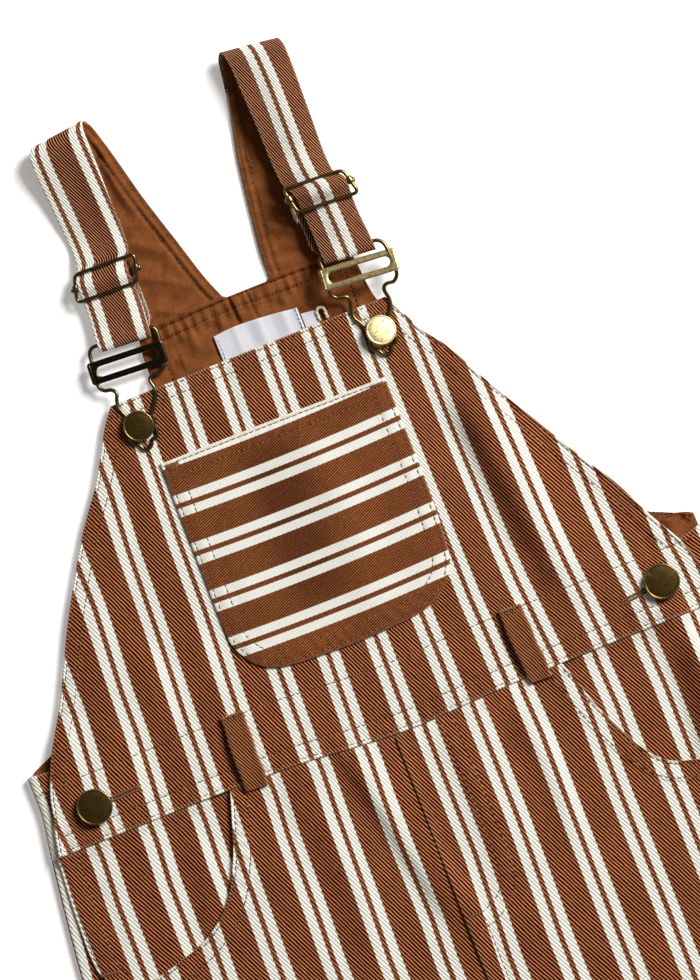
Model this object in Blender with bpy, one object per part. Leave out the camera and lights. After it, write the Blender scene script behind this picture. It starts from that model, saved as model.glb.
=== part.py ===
"""Kids' bib overalls, laid flat with the front up and the straps folded over at the shoulder.

Tables are in millimetres. X runs to the right as the garment lies, Y runs up towards the
straps, Z is the height above the surface. The origin is the middle of the front waist seam,
on the surface. Every panel is a sheet of cloth with its middle face modelled and then given
its thickness, and each sheet lies one cloth and one small gap above the sheet under it.
"""
import math

import bmesh
import bpy
from mathutils import Vector

MM = 0.001

# Driving sizes
CLOTH = 1.0                    # thickness of every cloth
GAP = 0.3                      # air between two pieces that touch
LAYER = CLOTH + GAP            # from one panel's middle to the next one's
FLAT = CLOTH / 2               # middle of the back, which lies on the surface
LINING = FLAT + LAYER          # middle of the back's lining
FRONT = 4.4                    # middle of the front over most of the garment
FRONT_OPENING = 6.2            # middle of the front over the buttoned underlap
FRONT_HEM_EDGE = 3.6           # middle of the bib at its side edges
SEAM_EDGE = FLAT + LAYER       # middle of the front leg at its closed seams
LEG_LENGTH = 585.0             # waist seam to leg hem
CROTCH = -212.0                # fork of the legs
CENTRE_BACK = 11.5             # the back lies a little to the right of the front
BIB_TOP = 189.0
BACK_TOP = 216.0               # top of the back bib, where the straps are sewn on
OPENING_END = -66.0            # lower end of the side opening
WRAP_Z_BAND = 4.7              # back waistband where it turns forward, upper middle
WRAP_Z_LEG = 3.3               # back leg where it turns forward, upper middle
WIRE = 0.7                     # radius of the buckle wire
SLIDER_WIRE = 0.75             # radius of the slider wire
FOLD_RADIUS = 5.5              # the strap's fold at the shoulder
SLIDER_FRAME_Z = 6.6           # the slider's frame, over the strap
SLIDER_BAR_Z = 4.75            # the slider's bar, inside the turned tail
SLIDER_TURN = 1.62             # the tail's turn about the slider's bar
WIRE_Z_TOP = 4.8               # the buckle's top bar, inside the strap
WIRE_Z_FOOT = 5.95             # the buckle's foot, on the bib
BAR_TURN = (3.0, 1.55)         # the strap's loose turn about the buckle's bar, along and up
TAIL_Z = 3.2                   # the strap's tail, between the back and the front run
BEARER_DROP = 1.65             # how far the pocket bearer lies under the front

# Half of the garment at each height: outer fold of the sides
SIDE_FOLD = (                  # height, left, right
    (-585.0, -187.0, 190.0),
    (-450.0, -188.5, 191.5),
    (-300.0, -189.5, 192.5),
    (-212.0, -188.5, 191.5),
    (-150.0, -185.0, 188.5),
    (-100.0, -180.5, 184.5),
    (-51.4, -175.7, 180.0),
    (-29.0, -173.1, 177.6),
    (5.2, -168.3, 172.5),
    (25.2, -165.0, 169.3),
    (34.8, -164.7, 168.4),
    (44.1, -164.7, 168.2),
)
INSEAM = (                     # height, left leg, right leg
    (-585.0, -40.0, 42.0),
    (-450.0, -31.0, 33.0),
    (-300.0, -13.0, 15.0),
    (-225.0, -2.2, 3.0),
    (-212.0, -0.9, 0.9),
)
WAIST_SEAM = (                 # across, height
    (-175.0, 5.0), (-80.0, 4.9), (-43.3, 3.9), (-18.9, 1.7), (6.7, 0.2),
    (34.4, 1.1), (62.2, 2.2), (90.0, 2.5), (180.0, 2.6),
)
BIB_SIDES = (                  # height, left edge, right edge
    (0.0, -165.2, 167.0),
    (12.9, -162.9, 163.2),
    (24.3, -159.8, 158.8),
    (33.8, -157.4, 155.6),
    (50.0, -150.2, 146.8),
    (70.0, -138.3, 137.6),
    (83.5, -131.2, 129.4),
    (104.0, -120.6, 117.6),
    (138.0, -100.0, 98.6),
    (157.2, -85.8, 88.9),
    (168.3, -78.9, 81.1),
    (180.6, -71.7, 75.0),
    (189.0, -65.4, 70.6),
)
BACK_SIDES = (                 # height, left edge, right edge of the back bib
    (44.1, -164.0, 167.4),
    (50.6, -149.0, 148.0),
    (60.0, -130.0, 136.0),
    (80.0, -106.0, 117.0),
    (110.0, -84.0, 98.0),
    (150.0, -60.0, 79.0),
    (190.0, -44.5, 66.5),
    (206.0, -43.0, 64.5),
    (216.0, -41.5, 63.5),
)
SCOOP_LEFT = (                 # across, height of the front's pocket edge
    (-177.2, -68.0), (-162.0, -65.8), (-145.6, -63.5), (-132.4, -60.6), (-114.7, -54.7),
    (-100.0, -42.9), (-88.2, -25.3), (-82.4, -10.6), (-79.4, 4.5),
)
SCOOP_RIGHT = (
    (181.4, -68.0), (162.0, -67.4), (144.0, -66.0), (126.4, -62.3), (112.0, -57.0),
    (102.0, -45.0), (92.3, -24.0), (87.4, -9.0), (84.0, 2.1),
)
BEARER_LEFT = (                # height, outer edge, inner edge
    (-100.0, -150.0, -92.0), (-85.0, -153.0, -72.0), (-70.0, -159.0, -64.0),
    (-60.0, -163.0, -62.0), (-50.0, -167.6, -60.0), (-25.0, -167.6, -59.0),
    (4.6, -165.4, -59.0),
)
BEARER_RIGHT = (
    (-100.0, 153.0, 96.0), (-85.0, 156.0, 78.0), (-70.0, 162.0, 69.0),
    (-60.0, 166.0, 67.0), (-50.0, 171.0, 65.0), (-25.0, 170.5, 63.0),
    (4.6, 168.3, 63.0),
)
FOLDS = (                      # across, upper end, lower end, lean, half width, height
    (-27.0, -4.0, -95.0, -0.03, 9.0, -0.9),
    (-15.0, -8.0, -110.0, 0.02, 8.0, 0.8),
    (92.0, 130.0, 20.0, 0.06, 9.0, -1.0),
    (108.0, 120.0, 15.0, 0.08, 9.0, 0.7),
    (33.0, -20.0, -200.0, -0.05, 12.0, 0.8),
    (-112.0, -90.0, -330.0, -0.06, 16.0, 1.4),
    (118.0, -90.0, -340.0, 0.07, 16.0, 1.3),
    (-70.0, -240.0, -560.0, -0.10, 17.0, 1.3),
    (-135.0, -300.0, -575.0, 0.03, 14.0, -1.0),
    (74.0, -230.0, -550.0, 0.11, 17.0, 1.2),
    (140.0, -320.0, -575.0, -0.04, 14.0, -1.0),
)
BACK_STRAP = {                 # height, left edge, right edge of the strap's lower run
    "left": ((216.0, -41.5, 1.5), (225.0, -42.0, -2.2), (250.0, -44.5, -9.4),
             (269.4, -47.0, -15.0), (285.0, -49.0, -19.0), (301.7, -50.8, -22.8),
             (315.0, -52.5, -27.4)),
    "right": ((216.0, 23.5, 63.5), (225.0, 23.5, 64.0), (250.0, 26.7, 65.0),
              (275.0, 30.6, 65.8), (292.8, 35.0, 66.0), (302.0, 36.8, 66.0),
              (320.0, 40.2, 67.0)),
}
FRONT_STRAP = {                # height, left edge, right edge of the strap's upper run
    "left": ((212.0, -60.2, -35.8), (224.0, -59.2, -33.6), (236.0, -58.4, -33.4),
             (241.0, -58.2, -33.2), (247.0, -57.6, -31.9), (253.0, -55.6, -30.4), (275.0, -56.1, -30.1),
             (303.0, -57.6, -29.8), (315.0, -57.4, -29.8)),
    "right": ((210.0, 50.4, 74.4), (224.0, 50.2, 74.2), (238.0, 49.6, 73.9),
              (247.0, 48.6, 73.2), (253.0, 45.8, 69.8), (281.0, 44.8, 70.2),
              (303.0, 44.4, 70.8), (320.0, 43.4, 70.6)),
}
STRAP_SIZES = {                # top of the fold, slider bar, buckle bar, and how each leans
    "left": {"fold": 314.4, "slider": 244.3, "bar": 216.6,
             "fold_lean": 0.03, "slider_lean": -0.033, "bar_lean": -0.045},
    "right": {"fold": 319.6, "slider": 245.3, "bar": 215.5,
              "fold_lean": -0.03, "slider_lean": -0.053, "bar_lean": -0.087},
}
SLIDER = {                     # corners of the frame and ends of the bar, across and height
    "left": {"frame": ((-58.6, 251.1), (-29.2, 250.1), (-32.6, 237.5), (-62.0, 238.6)),
             "bar": ((-62.6, 244.9), (-28.5, 243.8))},
    "right": {"frame": ((45.6, 251.5), (73.9, 249.9), (77.1, 237.7), (48.2, 239.2)),
              "bar": ((44.3, 246.2), (78.2, 244.4))},
}
BUCKLE_WIRE = {                # one side from the top bar down to the foot, then up again
    "left": ((-61.0, 217.2), (-63.6, 216.9), (-65.3, 215.2), (-65.9, 211.0), (-67.2, 200.8),
             (-66.8, 198.2), (-65.0, 196.5), (-62.3, 195.8), (-60.6, 193.6), (-61.8, 190.0),
             (-62.1, 186.0), (-60.6, 182.2), (-60.2, 178.4), (-61.2, 174.2), (-62.6, 170.8),
             (-61.6, 168.6), (-59.8, 167.6), (-58.6, 165.0), (-56.6, 164.3), (-54.6, 165.2),
             (-53.2, 167.7), (-51.0, 168.2), (-50.0, 169.8), (-49.6, 174.0), (-48.8, 176.6),
             (-48.6, 179.2), (-45.7, 183.2), (-43.8, 187.0), (-43.6, 190.2), (-44.2, 192.8),
             (-43.4, 194.6), (-41.4, 195.2), (-38.2, 195.2), (-35.9, 196.6), (-35.0, 198.6),
             (-33.4, 207.6), (-32.9, 213.0), (-33.7, 215.1), (-36.0, 216.0)),
    "right": ((51.4, 216.5), (49.6, 216.2), (48.6, 214.6), (48.6, 211.0), (47.7, 201.8),
              (47.7, 199.0), (49.3, 196.8), (52.0, 196.0), (54.2, 195.2), (54.9, 193.4),
              (54.2, 190.8), (53.6, 187.6), (54.0, 184.4), (55.6, 181.8), (57.0, 178.6),
              (57.2, 174.4), (56.0, 170.6), (56.6, 168.2), (58.4, 167.4), (59.8, 164.9),
              (62.0, 163.9), (64.2, 164.8), (65.6, 167.3), (67.6, 168.0), (68.4, 170.4),
              (67.4, 174.4), (67.8, 178.6), (70.2, 182.0), (71.8, 184.9), (72.0, 188.0),
              (71.4, 191.2), (71.9, 193.3), (73.8, 194.2), (76.8, 193.9), (79.0, 195.7),
              (79.8, 198.6), (79.6, 208.0), (79.2, 211.4), (77.9, 213.4), (75.6, 214.5)),
}
PLATE = {                      # middle of the slotted plate and its turn in degrees
    "left": {"middle": (-50.7, 204.6), "turn": -3.6},
    "right": {"middle": (64.1, 204.7), "turn": -5.0},
}
PLATE_SIZE = (36.4, 10.6)
PLATE_SLOT = (29.4, 4.8)
PLATE_Z = 6.5
BIB_BUTTONS = {"left": (-56.6, 175.7), "right": (62.7, 174.9)}
SIDE_BUTTONS = {"left": (-140.3, 20.7), "right": (140.0, 20.2)}
BELT_LOOPS = {                 # corners: top left, top right, bottom right, bottom left
    "left": ((-71.9, 37.0), (-60.9, 36.5), (-62.3, 0.6), (-73.6, 1.2)),
    "right": ((64.7, 35.2), (75.8, 34.6), (77.4, -1.6), (66.4, -1.0)),
}
BIB_POCKET = {"left": -54.4, "right": 56.5, "top": 155.6, "bottom": 46.4, "corner": 21.0}
LABEL = {"left": -9.4, "right": 31.0, "top": 200.9, "bottom": 181.0}
SIZE_TAB = {"left": 31.3, "right": 38.1, "top": 195.6, "bottom": 181.0}

COLOURS = {
    "stripe": (0.62, 0.50, 0.40), "lining": (0.20, 0.06, 0.02), "loop": (0.22, 0.07, 0.03),
    "label": (0.82, 0.81, 0.83), "cord": (0.80, 0.75, 0.65), "brass": (0.28, 0.22, 0.10),
}


def clear_scene():
    """Remove whatever the scene holds."""
    for thing in list(bpy.data.objects):
        bpy.data.objects.remove(thing, do_unlink=True)


def smooth(low, high, value):
    """Rise from 0 at low to 1 at high with level ends."""
    part = min(1.0, max(0.0, (value - low) / (high - low)))
    return part * part * (3.0 - 2.0 * part)


def mix(start, end, part):
    """Go from start to end."""
    return start + (end - start) * part


def read(table, key, column):
    """Read a column of a table at a key, with a soft curve through its rows."""
    rows = sorted(table)
    key = min(max(key, rows[0][0]), rows[-1][0])
    place = 0
    while place < len(rows) - 2 and key > rows[place + 1][0]:
        place += 1
    low, high = rows[place], rows[place + 1]
    before = rows[max(place - 1, 0)]
    after = rows[min(place + 2, len(rows) - 1)]
    width = high[0] - low[0]
    part = (key - low[0]) / width
    rise_low = (high[column] - before[column]) / (high[0] - before[0]) * width
    rise_high = (after[column] - low[column]) / (after[0] - low[0]) * width
    square, cube = part * part, part * part * part
    return ((2 * cube - 3 * square + 1) * low[column] + (cube - 2 * square + part) * rise_low
            + (3 * square - 2 * cube) * high[column] + (cube - square) * rise_high)


def column_of(side):
    """Column of the left or the right edge in a table."""
    return 1 if side == "left" else 2


def fold_height(x, y):
    """Height that the soft folds add to the front at a place."""
    total = 0.0
    for across, upper, lower, lean, half, height in FOLDS:
        middle = across + lean * (upper - y)
        along = smooth(upper, upper - 30.0, y) * smooth(lower, lower + 40.0, y)
        total += height * along * math.exp(-((x - middle) / half) ** 2)
    return total


def leg_front_height(x, y):
    """Middle of the front leg, or of the waist, above the surface."""
    side = "left" if x < 0 else "right"
    inside = abs(read(SIDE_FOLD, y, column_of(side)) - x)
    opening = smooth(-80.0, -62.0, y) * (1.0 - smooth(46.0, 62.0, y))
    lifted = mix(FRONT_OPENING, FRONT, smooth(40.0, 62.0, inside))
    closed = mix(SEAM_EDGE, FRONT, math.sin(math.pi / 2 * min(1.0, inside / 15.0)))
    height = mix(closed, lifted, opening)
    settle = smooth(0.0, 14.0, inside)
    if y < CROTCH:
        inner = abs(read(INSEAM, y, column_of(side)) - x)
        near = mix(SEAM_EDGE, FRONT, math.sin(math.pi / 2 * min(1.0, inner / 13.0)))
        height = min(height, near)
        settle *= smooth(0.0, 12.0, inner)
    return height + settle * fold_height(x, y)


def bib_height(x, y):
    """Middle of the front bib above the surface."""
    column = 1 if x < 0 else 2
    inside = abs(read(BIB_SIDES, y, column) - x)
    upper = mix(FRONT_HEM_EDGE, FRONT, smooth(0.0, 15.0, inside)) + fold_height(x, y)
    band = leg_front_height(x, min(y, 46.0))
    return mix(band, upper, smooth(44.0, 64.0, y))


def colour_material(name, colour, metal=False):
    """Give a part its own plain material."""
    material = bpy.data.materials.new(name)
    material.use_nodes = True
    shader = material.node_tree.nodes["Principled BSDF"]
    shader.inputs["Base Color"].default_value = (*colour, 1.0)
    shader.inputs["Roughness"].default_value = 0.4 if metal else 0.9
    shader.inputs["Metallic"].default_value = 1.0 if metal else 0.0
    return material


def place(name, data, colour):
    """Put a mesh or a curve into the scene under its name."""
    data.materials.append(colour_material(name, COLOURS[colour], colour == "brass"))
    thing = bpy.data.objects.new(name, data)
    bpy.context.collection.objects.link(thing)
    return thing


def weld(name, grids):
    """Make one open sheet from grids of points that share their borders."""
    frame = bmesh.new()
    for grid in grids:
        rows = [[frame.verts.new(Vector(point) * MM) for point in row] for row in grid]
        for lower, upper in zip(rows, rows[1:]):
            for place_in_row in range(len(lower) - 1):
                corners = (lower[place_in_row], lower[place_in_row + 1],
                           upper[place_in_row + 1], upper[place_in_row])
                frame.faces.new(corners)
    bmesh.ops.remove_doubles(frame, verts=frame.verts, dist=0.01 * MM)
    bmesh.ops.recalc_face_normals(frame, faces=frame.faces)
    mesh = bpy.data.meshes.new(name)
    frame.to_mesh(mesh)
    frame.free()
    return mesh


def sheet(name, grids, colour, thickness=CLOTH):
    """A sheet with its thickness on both sides of its middle face."""
    thing = place(name, weld(name, grids), colour)
    solid = thing.modifiers.new("thickness", "SOLIDIFY")
    solid.thickness = thickness * MM
    solid.offset = 0.0
    solid.use_even_offset = True
    solid.use_quality_normals = True
    return thing


def wire(name, points, radius, colour, closed):
    """A round wire or cord along points."""
    curve = bpy.data.curves.new(name, "CURVE")
    curve.dimensions = "3D"
    curve.bevel_depth = radius * MM
    curve.bevel_resolution = 2
    curve.use_fill_caps = not closed
    spline = curve.splines.new("POLY")
    spline.points.add(len(points) - 1)
    for point, target in zip(points, spline.points):
        target.co = (*(Vector(point) * MM), 1.0)
    spline.use_cyclic_u = closed
    return place(name, curve, colour)


def turned(name, profile, middle, colour, steps=28):
    """A piece turned about an upright axis from a profile of radius and height."""
    frame = bmesh.new()
    verts = [frame.verts.new((radius * MM, 0.0, height * MM)) for radius, height in profile]
    for low, high in zip(verts, verts[1:]):
        frame.edges.new((low, high))
    bmesh.ops.spin(frame, geom=frame.verts[:] + frame.edges[:], cent=(0, 0, 0),
                   axis=(0, 0, 1), angle=2 * math.pi, steps=steps, use_merge=True)
    bmesh.ops.remove_doubles(frame, verts=frame.verts, dist=0.01 * MM)
    bmesh.ops.recalc_face_normals(frame, faces=frame.faces)
    mesh = bpy.data.meshes.new(name)
    frame.to_mesh(mesh)
    frame.free()
    mesh.shade_smooth()
    thing = place(name, mesh, colour)
    thing.location = Vector((middle[0], middle[1], 0.0)) * MM
    return thing


def spread(start, end, count):
    """Evenly spaced values from start to end."""
    return [mix(start, end, index / (count - 1)) for index in range(count)]


def centre_back(y):
    """Where the back's centre seam runs."""
    return mix(0.0, CENTRE_BACK, smooth(CROTCH, -20.0, y))


def back_leg(side):
    """A back leg: flat on the surface, with an underlap turned forward at the side opening."""
    sign = -1.0 if side == "left" else 1.0
    column = column_of(side)
    heights = [-LEG_LENGTH, -520.0, -440.0, -360.0, -290.0, -240.0, CROTCH, -160.0, -110.0,
               -85.0, OPENING_END + 2, -48.0, -30.0, -12.0, 4.7]
    radius = (WRAP_Z_LEG - FLAT) / 2
    flat, wrap = [], []
    for y in heights:
        outer = read(SIDE_FOLD, y, column)
        turn = outer - sign * (radius + FLAT)
        if y < CROTCH:
            inner = read(INSEAM, y, column)
        else:
            inner = centre_back(y) + sign * GAP / 2
        edge = mix(outer, turn, smooth(OPENING_END - 22, OPENING_END + 2, y))
        flat.append([(x, y, FLAT) for x in spread(inner, edge, 7)])
        if y >= OPENING_END:
            row = [(turn, y, FLAT)]
            for angle in (-60, -30, 0, 30, 60, 90):
                a = math.radians(angle)
                row.append((turn + sign * radius * math.cos(a), y,
                            FLAT + radius + radius * math.sin(a)))
            lap = sign * mix(167.0, 150.0, smooth(-64.0, -30.0, y))
            row += [(mix(turn, lap, 0.5), y, WRAP_Z_LEG), (lap, y, WRAP_Z_LEG)]
            wrap.append(row)
    return sheet("back_" + side, (flat, wrap), "stripe")


def back_bib(name, lower, upper, radius, bottom):
    """The back's bib and waistband in one cloth, with both ends turned forward."""
    band = [bottom, 14.0, 25.0, 35.0, 44.1]
    flat, wraps = [], {"left": [], "right": []}
    for y in band + [50.6, 60.0, 80.0, 110.0, 150.0, 190.0, BACK_TOP - 0.15]:
        edges = []
        for side, sign in (("left", -1.0), ("right", 1.0)):
            column = column_of(side)
            turn = read(SIDE_FOLD, y, column) - sign * ((WRAP_Z_BAND - FLAT) / 2 + FLAT)
            edges.append(turn if y <= 44.1 else read(BACK_SIDES, y, column))
            if y <= 44.1:
                row = [(turn, y, lower)]
                for angle in (-60, -30, 0, 30, 60, 90):
                    a = math.radians(angle)
                    row.append((turn + sign * radius * math.cos(a), y,
                                lower + radius + radius * math.sin(a)))
                lap = sign * 128.0
                drop = 0.10 * (y - 14.0) * smooth(14.0, 44.1, y)
                row += [(mix(turn, lap, 0.5), y - drop * 0.6, upper), (lap, y - drop, upper)]
                wraps[side].append(row)
        flat.append([(x, y, lower) for x in spread(edges[0], edges[1], 11)])
    return sheet(name, (flat, wraps["left"], wraps["right"]),
                 "stripe" if name == "back_bib" else "lining")


def front_leg(side):
    """A front leg, with the curved pocket edge cut out of its upper corner."""
    sign = -1.0 if side == "left" else 1.0
    column = column_of(side)
    scoop = SCOOP_LEFT if side == "left" else SCOOP_RIGHT
    waist_x = [sign * 66.0, sign * 50.0, sign * 33.0, sign * 17.0, sign * GAP / 2]
    tops = list(scoop) + [(x, read(WAIST_SEAM, x, 1) - GAP / 2) for x in waist_x]
    start = -80.0
    outer, inner = read(SIDE_FOLD, start, column), sign * GAP / 2
    shares = [(x - outer) / (inner - outer) for x, _ in tops]
    shares[0] = 0.0
    rows = []
    for y in (-LEG_LENGTH, -520.0, -450.0, -380.0, -310.0, -260.0, CROTCH, -165.0, -120.0):
        edge = read(SIDE_FOLD, y, column)
        fork = read(INSEAM, y, column) if y < CROTCH else inner
        rows.append([(mix(edge, fork, share), y) for share in shares])
    for part in (0.0, 0.35, 0.7, 1.0):
        rows.append([(mix(mix(outer, inner, share), top[0], part), mix(start, top[1], part))
                     for share, top in zip(shares, tops)])
    grid = [[(x, y, leg_front_height(x, y)) for x, y in row] for row in rows]
    return sheet("front_" + side, (grid,), "stripe")


def pocket_bearer(side):
    """The cloth seen in the pocket opening, which runs on under the front leg."""
    column = column_of(side)
    sign = -1.0 if side == "left" else 1.0
    table = BEARER_LEFT if side == "left" else BEARER_RIGHT
    rows = []
    for y in (-100.0, -88.0, -76.0, -66.0, -56.0, -42.0, -28.0, -12.0, None):
        row = []
        for share in spread(0.0, 1.0, 11):
            level = 4.6 if y is None else y
            x = mix(read(table, level, 1), read(table, level, 2), share)
            height = read(WAIST_SEAM, x, 1) - GAP / 2 if y is None else y
            row.append((x, height, leg_front_height(x, height) - BEARER_DROP))
        rows.append(row)
    return sheet("pocket_bearer_" + side, (rows,), "stripe")


def bib_front():
    """The front's bib and waistband, cut in one."""
    grid = []
    for share in (0.0, 0.07, 0.14, 0.2, 0.26, 0.33, 0.42, 0.52, 0.62, 0.72, 0.82, 0.91, 1.0):
        row = []
        for part in spread(0.0, 1.0, 19):
            y = mix(2.5, BIB_TOP, share)
            x = mix(read(BIB_SIDES, y, 1), read(BIB_SIDES, y, 2), part)
            y = mix(read(WAIST_SEAM, x, 1) + GAP / 2, BIB_TOP, share)
            x = mix(read(BIB_SIDES, y, 1), read(BIB_SIDES, y, 2), part)
            row.append((x, y, bib_height(x, y)))
        grid.append(row)
    return sheet("bib_front", (grid,), "stripe")


def bib_pocket():
    """The patch pocket, one cloth above the bib, with round lower corners."""
    size = BIB_POCKET
    grid = []
    for y in (46.4, 49.0, 54.0, 60.0, 67.4, 85.0, 102.0, 120.0, 138.0, 155.6):
        low = size["bottom"] + size["corner"]
        reach = 0.0
        if y < low:
            rise = (low - y) / size["corner"]
            reach = 1.35 * size["corner"] * (1.0 - math.sqrt(max(0.0, 1.0 - rise * rise)))
        xs = spread(size["left"] + reach, size["right"] - reach, 9)
        grid.append([(x, y, bib_height(x, y) + LAYER + 0.15) for x in xs])
    return sheet("bib_pocket", (grid,), "stripe")


def strap_path(side):
    """Stations of the striped ply: height along, height above and edges, base to tail."""
    sizes = STRAP_SIZES[side]
    back, front = BACK_STRAP[side], FRONT_STRAP[side]
    stations = []

    def add(y, z, fold_share, lean):
        left = mix(read(back, y, 1), read(front, y, 1), fold_share)
        right = mix(read(back, y, 2), read(front, y, 2), fold_share)
        stations.append((y, z, left, right, lean))

    middle_y = sizes["fold"] - FLAT - FOLD_RADIUS
    fold_lean = sizes["fold_lean"]
    for y in (BACK_TOP + 0.15, 228.0, 245.0, 262.0, 280.0):
        add(y, FLAT, 0.0, 0.0)
    add(middle_y - 14.0, FLAT + 0.15, 0.0, fold_lean * 0.3)
    add(middle_y - 6.0, FLAT + 0.45, 0.05, fold_lean * 0.7)
    for angle in range(-66, 91, 26):
        a = math.radians(angle)
        add(middle_y + FOLD_RADIUS * math.cos(a), FLAT + 0.6 + FOLD_RADIUS * (1 + math.sin(a)),
            smooth(-80.0, 90.0, angle), fold_lean)
    top = FLAT + 0.6 + 2 * FOLD_RADIUS
    slider = sizes["slider"]
    for y, z in ((middle_y - 9.0, top - 0.3), (290.0, top - 1.6), (276.0, top - 3.6),
                 (264.0, top - 5.2), (257.0, top - 6.3), (slider + 9.0, 5.2),
                 (slider + 7.2, 4.95), (slider + 5.4, 5.05), (slider + 3.8, 6.0),
                 (slider + 2.0, 7.25), (slider, 7.7), (slider - 2.0, 7.25),
                 (slider - 3.8, 6.0), (slider - 5.4, 5.0), (slider - 7.2, 4.9), (slider - 16.0, 4.75),
                 (sizes["bar"] + 5.0, 5.2), (sizes["bar"] + 2.0, 6.1)):
        near_bar = smooth(slider - 8.0, sizes["bar"] + 6.0, y)
        lean = mix(sizes["slider_lean"], sizes["bar_lean"], near_bar)
        add(y, z, 1.0, mix(lean, fold_lean, smooth(slider + 12.0, middle_y - 9.0, y)))
    for angle in range(90, 271, 30):
        a = math.radians(angle)
        add(sizes["bar"] + BAR_TURN[0] * math.cos(a), WIRE_Z_TOP + BAR_TURN[1] * math.sin(a),
            1.0, sizes["bar_lean"])
    for y in (sizes["bar"] + 5.0, 228.0, slider - 7.0):
        add(y, TAIL_Z, 1.0, mix(sizes["bar_lean"], sizes["slider_lean"], smooth(220, 236, y)))
    for angle in range(-90, 91, 30):
        a = math.radians(angle)
        add(slider + SLIDER_TURN * math.cos(a), SLIDER_BAR_Z + SLIDER_TURN * math.sin(a), 1.0,
            sizes["slider_lean"])
    return stations


def ribbon(stations, shift):
    """Rows across a strap, moved off the path along its own normal."""
    rows = []
    for index, (y, z, left, right, lean) in enumerate(stations):
        before = stations[max(index - 1, 0)]
        after = stations[min(index + 1, len(stations) - 1)]
        run, climb = after[0] - before[0], after[1] - before[1]
        length = math.hypot(run, climb)
        y_moved = y - climb / length * shift
        z_moved = z + run / length * shift
        middle = (left + right) / 2
        rows.append([(x, y_moved + lean * (x - middle), z_moved)
                     for x in spread(left, right, 3)])
    return rows


def strap(side):
    """The striped ply and, above it on the back, the plain lining ply."""
    stations = strap_path(side)
    sheet("strap_" + side, (ribbon(stations, 0.0),), "stripe")
    above_slider = STRAP_SIZES[side]["slider"] + 10.0
    turned_over = False
    lined = []
    for station in stations:
        turned_over = turned_over or station[1] > FOLD_RADIUS
        if turned_over and station[0] < above_slider:
            break
        lined.append(station)
    sheet("strap_lining_" + side, (ribbon(lined, LAYER),), "lining")


def belt_loop(side):
    """A narrow strip of cloth that bows off the waistband between its two ends."""
    top_left, top_right, bottom_right, bottom_left = BELT_LOOPS[side]
    grid = []
    for share in (0.0, 0.12, 0.3, 0.5, 0.7, 0.88, 1.0):
        row = []
        for part in (0.0, 0.5, 1.0):
            x = mix(mix(bottom_left[0], bottom_right[0], part),
                    mix(top_left[0], top_right[0], part), share)
            y = mix(mix(bottom_left[1], bottom_right[1], part),
                    mix(top_left[1], top_right[1], part), share)
            bow = 1.5 * math.sin(math.pi * share) ** 0.7
            row.append((x, y, bib_height(x, max(y, 3.0)) + LAYER + 0.1 + bow))
        grid.append(row)
    return sheet("belt_loop_" + side, (grid,), "loop")


def flat_label(name, size):
    """A woven label on the back's lining, its lower end behind the bib."""
    level = LINING + LAYER
    grid = [[(x, y, level) for x in spread(size["left"], size["right"], 3)]
            for y in (size["bottom"], size["top"])]
    return sheet(name, (grid,), "label")


def label_loop():
    """A small cord loop beside the size tab."""
    radius, left, right, foot, level = 0.8, 39.2, 42.3, 189.7, LINING + CLOTH / 2 + GAP + 0.85
    middle, half = (left + right) / 2, (right - left) / 2
    points = [(left, foot, level), (left, foot + 2.0, level)]
    for angle in range(180, -1, -30):
        a = math.radians(angle)
        points.append((middle + half * math.cos(a), 193.6 + 1.6 * math.sin(a), level))
    points += [(right, foot + 2.0, level), (right, foot, level)]
    return wire("label_loop", points, radius, "cord", False)


def soft_loop(corners, corner_radius, z):
    """A closed outline with its corners rounded by short arcs."""
    points = []
    count = len(corners)
    for index in range(count):
        here = Vector(corners[index])
        back = (Vector(corners[index - 1]) - here).normalized()
        ahead = (Vector(corners[(index + 1) % count]) - here).normalized()
        for part in spread(0.0, 1.0, 5):
            start = here + back * corner_radius
            end = here + ahead * corner_radius
            point = start.lerp(here, part).lerp(here.lerp(end, part), part)
            points.append((point.x, point.y, z))
    return points


def slider(side):
    """A wire slider: a frame over the strap and a bar with ball ends under it."""
    size = SLIDER[side]
    wire("slider_frame_" + side, soft_loop(size["frame"], 2.6, SLIDER_FRAME_Z), SLIDER_WIRE, "brass", True)
    start, end = (Vector((*point, SLIDER_BAR_Z)) for point in size["bar"])
    length = (end - start).length
    profile = [(0.0, -1.5)]
    for angle in range(-60, 61, 30):
        a = math.radians(angle)
        profile.append((1.5 * math.cos(a), 1.5 * math.sin(a)))
    profile = profile[:-1] + [(SLIDER_WIRE, 1.3)]
    far = [(radius, length - height) for radius, height in reversed(profile)]
    bar = turned("slider_bar_" + side, profile + far, (0.0, 0.0), "brass", steps=12)
    bar.location = start * MM
    bar.rotation_mode = "QUATERNION"
    bar.rotation_quaternion = (end - start).to_track_quat("Z", "Y")
    return bar


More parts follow.
